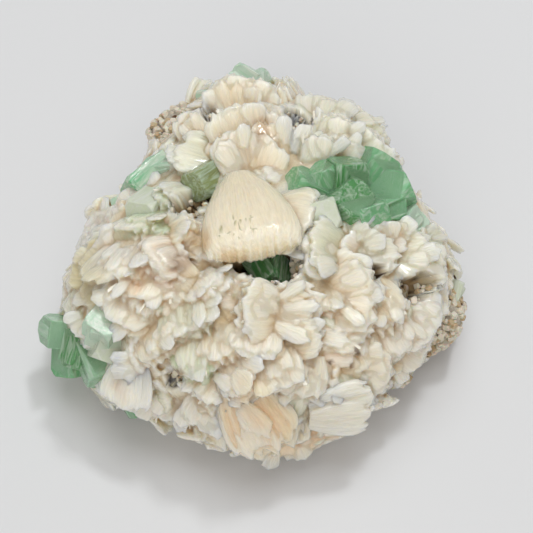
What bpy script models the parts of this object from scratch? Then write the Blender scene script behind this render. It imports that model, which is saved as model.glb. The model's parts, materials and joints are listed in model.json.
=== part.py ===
"""Apophyllite with stilbite: green apophyllite blocks in a crust of stilbite sheaves on a basalt matrix.

The frame stands on the matrix's flat underside, +Z up. All lengths are in millimetres and turned into
metres when a mesh is written. The main crystals are placed by the pixel at which the photograph shows
them, cast onto the crust's own form; the rest of the crust is filled by a seeded rule.
"""
import math
import random
from collections import namedtuple

import bmesh
import bpy
from mathutils import Matrix, Vector, noise

MM = 0.001
GOLDEN_ANGLE = math.pi * (3.0 - math.sqrt(5.0))
GAP = 0.3                  # clearance between pieces that touch
ROUGH_GROWTH = 1.25        # a rough face is grown by this much more, to keep the clearance on its slopes
FLAT_ANGLE = math.radians(0.3)
CRUST_KEPT = 0.72          # share of the triangles kept when slivers are collapsed, within 0.1 mm
ROCK_KEPT = 0.75

# The crust's form: a low dome that bulges at its waist and closes in again above the ground
WAIST_HEIGHT = 12.0
DOME_HEIGHT = 45.0
CRUST_CLOSES = 2.0         # height at which the underside of the form would close
FORM_POWER = 2.3
CRUST_LUMP = 1.2
CRUST_STEPS = (24, 12)     # faces round and up
# Radius of the waist by direction, in degrees from +X
WAIST = (
    (-7, 54), (13, 50), (33, 49), (50, 55), (70, 57), (88, 64), (98, 66), (110, 60), (125, 51), (147, 42),
    (165, 44), (180, 47), (197, 53), (210, 55), (224, 50), (245, 48), (268, 51), (290, 50), (317, 49),
    (338, 53),
)

# The basalt core, which shows at the foot and in a few knobs
ROCK_SHARE = 0.84          # its plan against the crust's
ROCK_HEIGHT = 36.0
ROCK_CLOSES = -12.0        # below the ground, where it is cut flat
ROCK_LUMP = 2.2
GROUND_CUT = 200.0         # edge of the block that cuts the core flat
ROCK_STEPS = (20, 10)
LUMP_UNEVEN = 0.24

# A stilbite sheaf: share of its length under the shoulder, and its width at the root against the shoulder's
SHEAF_BODY = 0.78
SHEAF_ROOT = 0.55
SHEAF_BURIED = 2.5

# An apophyllite block: slope of the pyramid faces that cut its corners, and how far they reach down
PYRAMID_SLOPE = math.radians(60.5)
SPAR_BURIED = 3.0
HOLLOW_BURIED = 7.5

# The view that the pixels below are read in: a square picture, looking along +Y and down
PICTURE = 533.0
LENS_OVER_SENSOR = 85.0 / 36.0
VIEW_ELEVATION = math.radians(55.0)
VIEW_DISTANCE = 360.0
VIEW_DEPTH = 110.0         # how far before and behind the target the specimen can reach
VIEW_TARGET = Vector((3.0, 2.0, 16.0))

# px, py: where the middle shows; heading: its way in the picture, 0 right and 90 up; rise: out of the crust
Sheaf = namedtuple("Sheaf", "px py heading rise length width thick")
SHEAVES = (
    # the far point
    Sheaf(235, 100, 102, 40, 14, 12, 8), Sheaf(263, 102, 80, 45, 13, 9, 7),
    Sheaf(244, 130, 112, 35, 16, 12, 8), Sheaf(270, 124, 72, 30, 15, 9, 6),
    Sheaf(292, 96, 84, 30, 12, 7, 6), Sheaf(312, 109, 70, 25, 11, 8, 6), Sheaf(326, 116, 62, 30, 13, 11, 8),
    Sheaf(331, 137, 60, 40, 14, 12, 8), Sheaf(352, 124, 58, 28, 13, 11, 8),
    Sheaf(371, 136, 32, 28, 12, 10, 7), Sheaf(362, 149, 15, 50, 12, 12, 8),
    Sheaf(380, 156, -5, 28, 11, 8, 7), Sheaf(346, 158, 45, 45, 12, 10, 7),
    Sheaf(318, 157, 74, 40, 14, 9, 6), Sheaf(277, 150, 102, 28, 17, 9, 6),
    Sheaf(261, 164, 78, 24, 15, 9, 6), Sheaf(236, 158, 122, 32, 15, 12, 8),
    Sheaf(203, 154, 172, 22, 15, 11, 7), Sheaf(199, 130, 112, 45, 13, 10, 8),
    Sheaf(186, 156, 190, 26, 10, 9, 6),
    # the left shoulder
    Sheaf(178, 197, 215, 30, 13, 9, 7), Sheaf(146, 224, 250, 30, 13, 10, 7),
    Sheaf(180, 230, 5, 32, 13, 8, 6), Sheaf(102, 230, 150, 20, 13, 11, 8),
    Sheaf(119, 243, 110, 30, 12, 9, 6), Sheaf(130, 260, -96, 24, 19, 12, 8),
    Sheaf(98, 264, 172, 14, 13, 12, 9), Sheaf(100, 285, 205, 16, 12, 9, 7),
    Sheaf(82, 307, 182, 12, 10, 5, 5), Sheaf(76, 320, 168, 12, 9, 6, 5), Sheaf(91, 326, 215, 35, 10, 8, 6),
    Sheaf(104, 388, -76, 20, 12, 9, 7),
    # the left slope
    Sheaf(165, 258, -150, 30, 14, 11, 8), Sheaf(147, 283, -118, 22, 17, 10, 7),
    Sheaf(130, 303, -135, 20, 17, 11, 7), Sheaf(177, 290, -80, 26, 12, 7, 5),
    Sheaf(158, 338, -52, 36, 13, 9, 6), Sheaf(133, 340, -42, 34, 10, 6, 5),
    Sheaf(208, 284, -40, 40, 11, 8, 6), Sheaf(194, 312, -62, 26, 15, 12, 7),
    Sheaf(233, 291, 10, 26, 9, 6, 5), Sheaf(178, 328, -92, 30, 12, 8, 6),
    Sheaf(203, 350, -82, 24, 16, 10, 7), Sheaf(144, 368, 186, 28, 14, 8, 6),
    Sheaf(152, 395, -104, 26, 14, 9, 6), Sheaf(134, 385, -150, 24, 10, 7, 5),
    Sheaf(175, 403, -96, 22, 13, 9, 7),
    # the near point
    Sheaf(238, 372, -30, 30, 14, 11, 8), Sheaf(204, 405, -112, 20, 13, 9, 7),
    Sheaf(212, 383, -120, 30, 12, 8, 6), Sheaf(292, 436, -76, 12, 12, 11, 8),
    Sheaf(324, 428, -32, 12, 13, 9, 7), Sheaf(371, 373, -8, 30, 13, 12, 9),
    Sheaf(314, 376, -88, 18, 16, 9, 7), Sheaf(339, 376, -66, 22, 12, 7, 6),
    Sheaf(279, 365, -72, 22, 16, 12, 8), Sheaf(298, 338, 24, 28, 14, 8, 6),
    Sheaf(284, 318, -6, 16, 21, 10, 7), Sheaf(262, 304, 172, 28, 14, 12, 8),
    Sheaf(254, 340, -100, 28, 14, 10, 7), Sheaf(229, 340, -78, 32, 13, 10, 7),
    # the right slope
    Sheaf(334, 338, 2, 14, 14, 9, 7), Sheaf(347, 314, -28, 24, 15, 12, 8),
    Sheaf(325, 300, -82, 30, 12, 8, 6), Sheaf(294, 281, 122, 24, 9, 8, 6),
    Sheaf(348, 285, 22, 22, 16, 10, 7), Sheaf(381, 302, -62, 24, 15, 10, 7),
    Sheaf(391, 334, -76, 26, 14, 9, 7), Sheaf(368, 342, -102, 22, 12, 8, 7),
    Sheaf(416, 315, -22, 30, 12, 11, 7), Sheaf(411, 345, -34, 22, 12, 9, 6),
    Sheaf(398, 364, -40, 18, 11, 8, 6), Sheaf(421, 266, -32, 24, 16, 12, 8),
    Sheaf(443, 262, -12, 20, 10, 11, 7), Sheaf(405, 247, 12, 30, 13, 9, 7),
    Sheaf(385, 240, 82, 34, 11, 8, 6), Sheaf(361, 240, 32, 30, 11, 9, 7),
    Sheaf(322, 255, 172, 24, 14, 12, 9), Sheaf(369, 261, -2, 12, 18, 9, 7),
    Sheaf(423, 237, 48, 30, 10, 7, 6), Sheaf(415, 215, 55, 24, 10, 6, 5), Sheaf(393, 170, 25, 20, 9, 6, 5),
    Sheaf(430, 290, -24, 22, 11, 9, 6),
)

# A bow tie's half: blades that open from one root; px, py: where the root shows
Fan = namedtuple("Fan", "px py heading spread count rise length width thick")
FAN_FLATTENS = 2.6         # how much less the outer blades rise than the middle one
FAN_SINKS = 4.0            # degrees by which every blade lies lower than the fan's rise
FAN_SHORTENS = 0.5         # how much shorter the outer blades are
FANS = (
    Fan(238, 177, -78, 76, 7, 11, 32, 9.5, 10),
    Fan(266, 206, -8, 44, 3, 16, 15, 7, 7),
    Fan(236, 370, -60, 20, 3, -14, 29, 8.5, 10),
    Fan(228, 398, -64, 34, 3, -6, 17, 8, 9),
    Fan(308, 412, 10, 20, 2, 12, 20, 8, 9),
    Fan(132, 352, -106, 44, 3, 18, 17, 7, 6),
)

# cut: how far the pyramid faces reach down the prism's edges, against its width
Spar = namedtuple("Spar", "px py heading rise length width turn cut")
APOPHYLLITE = {
    "apophyllite_right_cluster": (
        Spar(372, 176, 60, 50, 13, 9.5, 20, 0.5), Spar(388, 195, -5, 45, 13, 9, 10, 0.7),
        Spar(384, 209, -20, 30, 12, 7, 40, 0.5), Spar(345, 182, 110, 60, 12, 8.5, 0, 0.4),
        Spar(348, 203, -70, 60, 12, 9, 30, 0.6), Spar(366, 216, -70, 38, 12, 8, 15, 0.4),
        Spar(329, 183, 150, 50, 11, 7.5, 45, 0.8), Spar(308, 189, 180, 30, 12, 7, 10, 0.5),
        Spar(325, 213, -110, 40, 11, 7.5, 25, 0.5), Spar(403, 224, 60, 24, 10, 6.5, 20, 0.4),
        Spar(411, 228, 10, 24, 9, 5.5, 0, 0.5),
    ),
    "apophyllite_left_shoulder": (
        Spar(153, 183, 236, 14, 15, 9, 25, 0.35), Spar(163, 172, 200, 24, 10, 7, 10, 0.5),
        Spar(150, 210, 250, 25, 11, 8, 0, 0.4), Spar(129, 205, 215, 22, 9, 6, 20, 0.6),
    ),
    "apophyllite_saddle": (
        Spar(208, 178, 235, 22, 13, 7.5, 30, 0.5), Spar(199, 186, 225, 22, 9, 5.5, 10, 0.5),
    ),
    "apophyllite_hollow": (
        Spar(261, 271, -60, 16, 10, 6, 15, 0.5), Spar(274, 270, -100, 12, 9, 6, 40, 0.6),
    ),
    "apophyllite_left_point": (
        Spar(57, 331, 178, 18, 10, 7, 10, 0.7), Spar(69, 358, -120, 25, 10, 6.5, 35, 0.5),
        Spar(82, 350, -80, 32, 10, 7.5, 0, 0.6), Spar(97, 362, -40, 35, 11, 8, 20, 0.5),
        Spar(105, 328, 60, 38, 11, 8, 15, 0.4), Spar(107, 347, 20, 40, 10, 7, 30, 0.6),
        Spar(72, 344, 200, 18, 13, 7.5, 0, 0.5),
    ),
    "apophyllite_far_point": (
        Spar(248, 78, 95, 20, 9, 5.5, 10, 0.6), Spar(260, 84, 75, 25, 9, 5.5, 40, 0.5),
        Spar(240, 84, 120, 20, 8, 4.5, 20, 0.5),
    ),
    "apophyllite_far_left": (Spar(213, 98, 140, 18, 9, 5, 0, 0.5),),
    "apophyllite_right_end": (Spar(447, 296, 50, 18, 10, 6.5, 10, 0.5),),
    "apophyllite_near_left": (Spar(131, 399, -110, 18, 9, 5.5, 20, 0.5),),
}

# Hollows between the sheaves: depth below the form, with the way in square to it
Hollow = namedtuple("Hollow", "px py width depth stretch heading")
HOLLOW_MOUTH = 14.0        # the cutter starts this far outside the form, clear of the sheaves
HOLLOW_TAPER = (0.62, 1.1)  # its width at the floor and at the start, against the hollow's
HOLLOWS = (
    Hollow(272, 268, 13, 9, 1.7, 0),
    Hollow(216, 128, 6, 8, 2.0, 90),
    Hollow(294, 130, 10, 7, 1.6, 90),
    Hollow(198, 203, 8, 8, 1.4, 30),
    Hollow(187, 218, 6, 6, 1.8, 0),
    Hollow(406, 290, 9, 7, 1.5, 20),
    Hollow(371, 275, 5, 6, 1.3, 0),
    Hollow(177, 374, 5, 6, 1.2, 0),
)

# Fine crystals that line two of the hollows
Druse = namedtuple("Druse", "px py width thick crystals size")
DRUSE_SUNK = 6.0           # depth of the cushion's middle below the form
DRUSE_SPREAD = 0.34        # how far out its crystals stand, against its width
DRUSE = {
    "druse_far_hollow": Druse(294, 132, 10, 3.5, 6, 2.8),
    "druse_right_hollow": Druse(407, 291, 7.5, 3.0, 5, 2.4),
}

# Knobs where the basalt comes through: px, py on the seen side, then the ones at the back by direction
Knob = namedtuple("Knob", "px py radius sunk")
KNOBS = (
    Knob(164, 134, 12.0, 8.5), Knob(453, 323, 11.5, 9.5), Knob(120, 392, 7.0, 6.0), Knob(404, 380, 7.0, 7.5),
)
BackKnob = namedtuple("BackKnob", "direction height radius sunk")
BACK_KNOBS = (BackKnob(122, 13, 15.0, 11.5), BackKnob(66, 16, 17.0, 13.5))

# Gas bubbles in the basalt where it shows; share: how far out they lie, against the crust's plan
Bubble = namedtuple("Bubble", "direction height radius share")
BUBBLES = (
    Bubble(-6, 10, 1.7, 1.02), Bubble(-1, 7, 1.3, 1.02), Bubble(70, 7, 2.0, ROCK_SHARE),
    Bubble(118, 9, 1.8, ROCK_SHARE), Bubble(95, 4, 1.5, ROCK_SHARE), Bubble(230, 3, 1.2, ROCK_SHARE),
)

# Filling of the rest of the crust
FILL_SEED = 7
FILL_CANDIDATES = 520
FILL_SPACING = 11.0
FILL_REACH = 3.6           # how far a filler's tip may stand out of the form
FILL_LOWEST = 5.0
FILL_DEPTH = 1.42          # share of the form's height that is filled from the top, 2 being all of it
SEEN_FACING = 0.45         # how squarely the crust must face the view to count as its seen side
SEEN_SCALE = 0.8
BACK_SPACING = 8.6
KNOB_CLEAR = 2.5           # how far fillers keep from a knob of basalt
BACK_SCALE = 1.15          # the back's sheaves are larger

Place = namedtuple("Place", "middle axis side up")


def waist_radius(degrees):
    """Radius of the waist in a direction, a smooth closed curve through the named ones."""
    degrees %= 360.0
    points = sorted((angle % 360, radius) for angle, radius in WAIST)
    count = len(points)
    for i in range(count):
        start = points[i][0]
        end = points[(i + 1) % count][0]
        end += 360 if end <= start else 0
        angle = degrees if degrees >= start else degrees + 360
        if start <= angle <= end:
            f = (angle - start) / (end - start)
            a, b, c, d = (points[(i + k) % count][1] for k in (-1, 0, 1, 2))
            curve = (2 * b) + (c - a) * f + (2 * a - 5 * b + 4 * c - d) * f ** 2
            return 0.5 * (curve + (3 * b - a - 3 * c + d) * f ** 3)
    return points[0][1]


def depth_in_form(point, lift=0.0):
    """Under 1 inside the crust's form, over 1 outside it; lift swells the form by so many millimetres."""
    x, y, z = point
    across = math.hypot(x, y) / (waist_radius(math.degrees(math.atan2(y, x))) + lift)
    if z > WAIST_HEIGHT:
        along = (z - WAIST_HEIGHT) / (DOME_HEIGHT + lift - WAIST_HEIGHT)
    else:
        along = (WAIST_HEIGHT - z) / (WAIST_HEIGHT - CRUST_CLOSES + lift)
    return (across ** FORM_POWER + along ** FORM_POWER) ** (1 / FORM_POWER)


def outward(point):
    """Unit normal of the form at a point."""
    step = 0.5
    slopes = []
    for axis in (Vector((step, 0, 0)), Vector((0, step, 0)), Vector((0, 0, step))):
        slopes.append(depth_in_form(point + axis) - depth_in_form(point - axis))
    return Vector(slopes).normalized()


def point_of_form(azimuth, latitude, share=1.0, top=DOME_HEIGHT, closes=CRUST_CLOSES, lift=0.0):
    """Point of the form, or of a smaller one of its kind, by azimuth and latitude in radians."""
    rim = math.cos(latitude) ** (2 / FORM_POWER)
    rise = abs(math.sin(latitude)) ** (2 / FORM_POWER)
    radius = (waist_radius(math.degrees(azimuth)) * share + lift) * rim
    if latitude > 0:
        z = WAIST_HEIGHT + (top - WAIST_HEIGHT + lift) * rise
    else:
        z = WAIST_HEIGHT - (WAIST_HEIGHT - closes + lift) * rise
    return Vector((radius * math.cos(azimuth), radius * math.sin(azimuth), z))


VIEW_AHEAD = Vector((0.0, math.cos(VIEW_ELEVATION), -math.sin(VIEW_ELEVATION)))
VIEW_UP = Vector((0.0, math.sin(VIEW_ELEVATION), math.cos(VIEW_ELEVATION)))
VIEW_RIGHT = Vector((1.0, 0.0, 0.0))
VIEW_EYE = VIEW_TARGET - VIEW_AHEAD * VIEW_DISTANCE


def seen_at(px, py, lift=0.0):
    """Point of the form, swollen by lift, that a pixel of the picture shows."""
    focal = PICTURE * LENS_OVER_SENSOR
    ray = VIEW_AHEAD + VIEW_RIGHT * ((px - PICTURE / 2) / focal) - VIEW_UP * ((py - PICTURE / 2) / focal)
    ray.normalize()
    nearest = None
    least = math.inf
    far = VIEW_DISTANCE - VIEW_DEPTH
    while far < VIEW_DISTANCE + VIEW_DEPTH:
        inside = depth_in_form(VIEW_EYE + ray * far, lift)
        if inside < least:
            least = inside
            nearest = far
        if inside < 1:
            break
        far += 1.0
    if least >= 1:
        return VIEW_EYE + ray * nearest
    near = far - 1.0
    for _ in range(16):
        middle = (near + far) / 2
        if depth_in_form(VIEW_EYE + ray * middle, lift) < 1:
            far = middle
        else:
            near = middle
    return VIEW_EYE + ray * far


def along_surface(point, heading):
    """Way along the form at a point that shows under a heading in the picture."""
    normal = outward(point)
    angle = math.radians(heading)
    way = VIEW_RIGHT * math.cos(angle) + VIEW_UP * math.sin(angle)
    facing = -VIEW_AHEAD.dot(normal)
    if facing > 0.35:
        tangent = way + VIEW_AHEAD * (way.dot(normal) / facing)
    else:
        tangent = way - normal * way.dot(normal)
    return tangent.normalized(), normal


def place_on(middle, tangent, normal, rise, turn=0.0):
    """Place of a crystal that leaves the crust under an angle, turned about its own axis."""
    lean = math.radians(rise)
    axis = (tangent * math.cos(lean) + normal * math.sin(lean)).normalized()
    up = normal * math.cos(lean) - tangent * math.sin(lean)
    side = up.cross(axis).normalized()
    up = axis.cross(side)
    roll = math.radians(turn)
    turned_side = side * math.cos(roll) + up * math.sin(roll)
    return Place(middle, axis, turned_side, axis.cross(turned_side))


def place_seen(crystal, thick, buried, turn=0.0):
    """Place of a crystal of a table, its middle where the photograph shows it."""
    stands = crystal.length / 2 * math.sin(math.radians(crystal.rise)) - buried + 0.2 * thick
    middle = seen_at(crystal.px, crystal.py, stands)
    tangent, normal = along_surface(middle, crystal.heading)
    return place_on(middle, tangent, normal, crystal.rise, turn)


def fan_blades(fan):
    """A fan's blades, as place and length, which share a root, rise most in the middle and end unevenly."""
    root = seen_at(fan.px, fan.py, fan.thick * 0.25)
    blades = []
    for i in range(fan.count):
        share = i / (fan.count - 1) - 0.5
        uneven = math.sin(2.7 * i + fan.px)
        tangent, normal = along_surface(root, fan.heading + share * fan.spread + 2.0 * uneven)
        bulge = fan.rise * (1.0 - FAN_FLATTENS * share ** 2) - FAN_SINKS + 1.5 * uneven
        length = fan.length * (1.0 - FAN_SHORTENS * share ** 2 + 0.04 * uneven)
        place = place_on(root, tangent, normal, bulge, 9.0 * uneven)
        blades.append((place._replace(middle=root + place.axis * (length / 2)), length))
    return blades


def matrix_of(place, scale):
    """Transform that scales a shape and sets it at a place, its length along the place's axis."""
    turned = Matrix((place.side, place.up, place.axis)).transposed().to_4x4()
    return Matrix.Translation(place.middle) @ turned @ Matrix.Diagonal((*scale, 1.0))


def add_sheaf(mesh, place, length, width, thick, sides=6):
    """A flattened crystal of six sides or fewer, narrow at its root, with a shoulder and a blunt tip."""
    known = set(mesh.verts)
    shape = {"segments": sides, "radius1": SHEAF_ROOT, "radius2": 1.0, "depth": SHEAF_BODY}
    cone = bmesh.ops.create_cone(mesh, cap_ends=True, **shape)
    faces = {face for vert in cone["verts"] for face in vert.link_faces}
    shoulder = max(faces, key=lambda face: face.calc_center_median().z)
    bmesh.ops.poke(mesh, faces=[shoulder], offset=1.0 - SHEAF_BODY)
    made = [vert for vert in mesh.verts if vert not in known]
    centred = Matrix.Translation((0, 0, (SHEAF_BODY - 1.0) / 2))
    bmesh.ops.transform(mesh, matrix=matrix_of(place, (width / 2, thick / 2, length)) @ centred, verts=made)


def add_spar(mesh, place, spar, grow=0.0):
    """A square prism whose corners are cut by four pyramid faces; grow swells every face of it."""
    half = spar.width / 2 + grow
    reach = spar.length / 2 + grow
    block = bmesh.new()
    bmesh.ops.create_cube(block, size=2.0, matrix=Matrix.Diagonal((half, half, reach, 1.0)))
    corner = Vector((spar.width / 2, spar.width / 2, spar.length / 2 - spar.cut * spar.width))
    for x_side, y_side in ((1, 1), (-1, 1), (-1, -1), (1, -1)):
        flat = math.sin(PYRAMID_SLOPE) / math.sqrt(2)
        normal = Vector((x_side * flat, y_side * flat, math.cos(PYRAMID_SLOPE)))
        through = Vector((x_side * corner.x, y_side * corner.y, corner.z)) + normal * grow
        everything = block.verts[:] + block.edges[:] + block.faces[:]
        plane = {"plane_co": through, "plane_no": normal, "clear_outer": True}
        cut = bmesh.ops.bisect_plane(block, geom=everything, **plane)
        rim = [item for item in cut["geom_cut"] if isinstance(item, bmesh.types.BMEdge)]
        bmesh.ops.contextual_create(block, geom=rim)
    bmesh.ops.transform(block, matrix=matrix_of(place, (1.0, 1.0, 1.0)), verts=block.verts)
    append(mesh, block)


def add_lump(mesh, centre, radius, grow=0.0, level=2):
    """A rounded lump with an uneven face; grow swells it by so many millimetres."""
    for vert in bmesh.ops.create_icosphere(mesh, subdivisions=level, radius=1.0)["verts"]:
        uneven = 1.0 + LUMP_UNEVEN * noise.noise(vert.co * 1.7 + centre * 0.37)
        vert.co = centre + vert.co * (radius * uneven + grow)


def append(mesh, other):
    """Move another mesh's faces into this one."""
    bmesh.ops.recalc_face_normals(other, faces=other.faces)
    held = bpy.data.meshes.new("held")
    other.to_mesh(held)
    mesh.from_mesh(held)
    bpy.data.meshes.remove(held)
    other.free()


def rounded_form(mesh, around, up, **form):
    """The dome's closed mesh, with uneven lumps."""
    lump = form.pop("lump")
    ball = bmesh.new()
    bmesh.ops.create_uvsphere(ball, u_segments=around, v_segments=up, radius=1.0)
    for vert in ball.verts:
        azimuth = math.atan2(vert.co.y, vert.co.x)
        latitude = math.asin(max(-1.0, min(1.0, vert.co.z)))
        point = point_of_form(azimuth, latitude, **form)
        vert.co = point + outward(point) * (lump * noise.noise(vert.co * 3.1))
    append(mesh, ball)


def to_object(name, mesh, collection):
    """Write a mesh, in millimetres so far, as an object in metres."""
    bmesh.ops.recalc_face_normals(mesh, faces=mesh.faces)
    bmesh.ops.scale(mesh, vec=(MM, MM, MM), verts=mesh.verts)
    data = bpy.data.meshes.new(name)
    mesh.to_mesh(data)
    mesh.free()
    made = bpy.data.objects.new(name, data)
    collection.objects.link(made)
    return made


def to_cutter(name, mesh):
    """Write a mesh as a cutter, which the specimen leaves out."""
    cutter = to_object(name, mesh, cutters)
    cutter.hide_render = True
    cutter.display_type = "WIRE"
    return cutter


def boolean(target, cutter, operation):
    """Join or cut with the exact solver, which also joins the shapes that overlap inside either mesh."""
    modifier = target.modifiers.new(cutter.name, "BOOLEAN")
    modifier.operation = operation
    modifier.object = cutter
    modifier.solver = "EXACT"
    modifier.use_self = True
    settled(target)


def finished(target, surface, kept=1.0):
    """Join faces that lie in one plane, collapse slivers to a share of the faces, and add the material."""
    shape = bmesh.new()
    shape.from_mesh(target.data)
    bmesh.ops.dissolve_limit(shape, angle_limit=FLAT_ANGLE, verts=shape.verts, edges=shape.edges)
    bmesh.ops.triangulate(shape, faces=shape.faces)
    shape.to_mesh(target.data)
    shape.free()
    target.data.materials.append(surface)
    if kept < 1.0:
        modifier = target.modifiers.new("slivers", "DECIMATE")
        modifier.decimate_type = "COLLAPSE"
        modifier.ratio = kept
        settled(target)


def settled(target):
    """Turn the object's modifiers into its mesh."""
    shape = bmesh.new()
    shape.from_object(target, bpy.context.evaluated_depsgraph_get())
    target.modifiers.clear()
    shape.to_mesh(target.data)
    shape.free()


def keep_largest(target):
    """Drop the chips that the cuts have parted from a piece."""
    shape = bmesh.new()
    shape.from_mesh(target.data)
    unseen = set(shape.verts)
    groups = []
    while unseen:
        group = [unseen.pop()]
        for vert in group:
            for edge in vert.link_edges:
                other = edge.other_vert(vert)
                if other in unseen:
                    unseen.remove(other)
                    group.append(other)
        groups.append(group)
    groups.sort(key=len)
    for group in groups[:-1]:
        bmesh.ops.delete(shape, geom=group, context="VERTS")
    shape.to_mesh(target.data)
    shape.free()


def material(name, colour, roughness, transmission=0.0):
    """A plain surface with a colour, a roughness and a share of see-through."""
    made = bpy.data.materials.new(name)
    made.use_nodes = True
    surface = made.node_tree.nodes["Principled BSDF"]
    surface.inputs["Base Color"].default_value = (*colour, 1.0)
    surface.inputs["Roughness"].default_value = roughness
    surface.inputs["Transmission Weight"].default_value = transmission
    made.diffuse_color = (*colour, 1.0)
    return made


def fill_sheaves(taken):
    """Seeded sheaves wherever the placed crystals leave the crust bare, the back and the rim included."""
    rng = random.Random(FILL_SEED)
    knobs = knob_centres()
    found = []
    for i in range(FILL_CANDIDATES):
        point = point_of_form(i * GOLDEN_ANGLE, math.asin(1.0 - FILL_DEPTH * (i + 0.5) / FILL_CANDIDATES))
        normal = outward(point)
        seen = -VIEW_AHEAD.dot(normal) > SEEN_FACING
        scale = SEEN_SCALE if seen else BACK_SCALE
        length = rng.uniform(10.0, 14.5) * scale
        width = rng.uniform(7.0, 11.0) * scale
        thick = rng.uniform(5.5, 8.0) * scale
        rise = rng.uniform(28.0, 58.0)
        swing = rng.uniform(-38.0, 38.0)
        turn = rng.uniform(-50.0, 50.0)
        spacing = FILL_SPACING if seen else BACK_SPACING
        if point.z < FILL_LOWEST or any((point - other).length < spacing for other in taken):
            continue
        if any((point - centre).length < radius + KNOB_CLEAR for centre, radius in knobs):
            continue
        away = Vector((point.x, point.y, 0.0)).normalized() - normal * 0.2
        slope = away - normal * away.dot(normal)
        slope = slope.normalized() if slope.length > 0.2 else normal.orthogonal().normalized()
        place = filler_place(point, slope, normal, (length, width, rise, swing, turn))
        if place:
            taken.append(point)
            found.append((place, length, width, thick, 5))
    return found


def filler_place(point, slope, normal, size):
    """A filler's place: down the slope, or sideways or up where it would come too near the ground."""
    length, width, rise, swing, turn = size
    for detour in (0.0, 75.0, -75.0, 150.0):
        tangent = Matrix.Rotation(math.radians(swing + detour), 3, normal) @ slope
        lean = rise
        while lean >= 0.0:
            stands = length / 2 * math.sin(math.radians(lean)) - SHEAF_BURIED
            place = place_on(point + normal * stands, tangent, normal, lean, turn)
            tip = place.middle + place.axis * (length / 2)
            if tip.z - width / 3 > FILL_LOWEST and depth_in_form(tip, FILL_REACH) < 1:
                return place
            lean -= 6.0
    return None


def spar_sets():
    """Places of every apophyllite crystal, by node; those of the hollow lie on its floor."""
    sets = {}
    for name, spars in APOPHYLLITE.items():
        buried = HOLLOW_BURIED if name == "apophyllite_hollow" else SPAR_BURIED
        sets[name] = [(place_seen(spar, spar.width, buried, spar.turn), spar) for spar in spars]
    return sets


def add_spars(mesh, sets, grow=0.0):
    """Every apophyllite crystal, or the room that it takes."""
    for placed in sets.values():
        for place, spar in placed:
            add_spar(mesh, place, spar, grow)


def knob_centres():
    """Middle and radius of every basalt knob, sunk so that only its face comes through."""
    centres = []
    for knob in KNOBS:
        point = seen_at(knob.px, knob.py)
        centres.append((point - outward(point) * knob.sunk, knob.radius))
    for knob in BACK_KNOBS:
        azimuth = math.radians(knob.direction)
        reach = Vector((math.cos(azimuth), math.sin(azimuth), 0.0))
        distance = waist_radius(knob.direction) * 1.2
        while depth_in_form(reach * distance + Vector((0, 0, knob.height))) > 1:
            distance -= 0.5
        point = reach * distance + Vector((0, 0, knob.height))
        centres.append((point - outward(point) * knob.sunk, knob.radius))
    return centres


def add_rock(mesh, grow=0.0):
    """The basalt core and its knobs."""
    rock_shape = {"share": ROCK_SHARE, "top": ROCK_HEIGHT, "closes": ROCK_CLOSES}
    rounded_form(mesh, *ROCK_STEPS, lift=grow, lump=ROCK_LUMP, **rock_shape)
    for centre, radius in knob_centres():
        add_lump(mesh, centre, radius, grow)


def add_druse(mesh, druse, grow=0.0):
    """A thin cushion of fine crystals on a hollow's floor."""
    point = seen_at(druse.px, druse.py)
    normal = outward(point)
    tangent, _ = along_surface(point, 0.0)
    floor = point - normal * DRUSE_SUNK
    pad = bmesh.new()
    add_lump(pad, Vector(), 1.0, level=1)
    place = place_on(floor, tangent, normal, 90.0)
    across = druse.width / 2 + grow
    bmesh.ops.transform(pad, matrix=matrix_of(place, (across, across, druse.thick + grow)), verts=pad.verts)
    append(mesh, pad)
    rng = random.Random(int(druse.px))
    for i in range(druse.crystals):
        angle = i * GOLDEN_ANGLE
        out = druse.width * DRUSE_SPREAD * math.sqrt((i + 0.4) / druse.crystals)
        spot = (place.side * math.cos(angle) + place.up * math.sin(angle)) * out
        middle = floor + spot + normal * (druse.thick * 0.8)
        lean = place_on(middle, place.side, normal, rng.uniform(50, 90), rng.uniform(0, 90))
        cube = bmesh.new()
        edge = druse.size + 2 * grow
        bmesh.ops.create_cube(cube, size=edge, matrix=matrix_of(lean, (1.0, 1.0, 1.3)))
        append(mesh, cube)


def add_hollow(mesh, hollow):
    """A pocket's cutter: a rounded bore from outside the crust to the hollow's floor."""
    point = seen_at(hollow.px, hollow.py)
    tangent, normal = along_surface(point, hollow.heading)
    place = place_on(point + normal * (HOLLOW_MOUTH - hollow.depth) / 2, tangent, normal, 90.0)
    bore = bmesh.new()
    taper = {"radius1": HOLLOW_TAPER[0], "radius2": HOLLOW_TAPER[1]}
    bmesh.ops.create_cone(bore, cap_ends=True, segments=7, depth=1.0, **taper)
    scale = (hollow.width / 2, hollow.width / 2 * hollow.stretch, HOLLOW_MOUTH + hollow.depth)
    bmesh.ops.transform(bore, matrix=matrix_of(place, scale), verts=bore.verts)
    append(mesh, bore)


for existing in list(bpy.data.objects):
    bpy.data.objects.remove(existing)
specimen = bpy.data.collections.new("apophyllite_with_stilbite")
cutters = bpy.data.collections.new("cutters")
bpy.context.scene.collection.children.link(specimen)
bpy.context.scene.collection.children.link(cutters)

basalt = material("basalt", (0.16, 0.11, 0.08), 0.9)
stilbite_cream = material("stilbite", (0.78, 0.70, 0.57), 0.4)
apophyllite_green = material("apophyllite", (0.20, 0.50, 0.30), 0.15, 0.6)
druse_tan = material("druse", (0.62, 0.52, 0.38), 0.6)

spars_placed = spar_sets()

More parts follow.
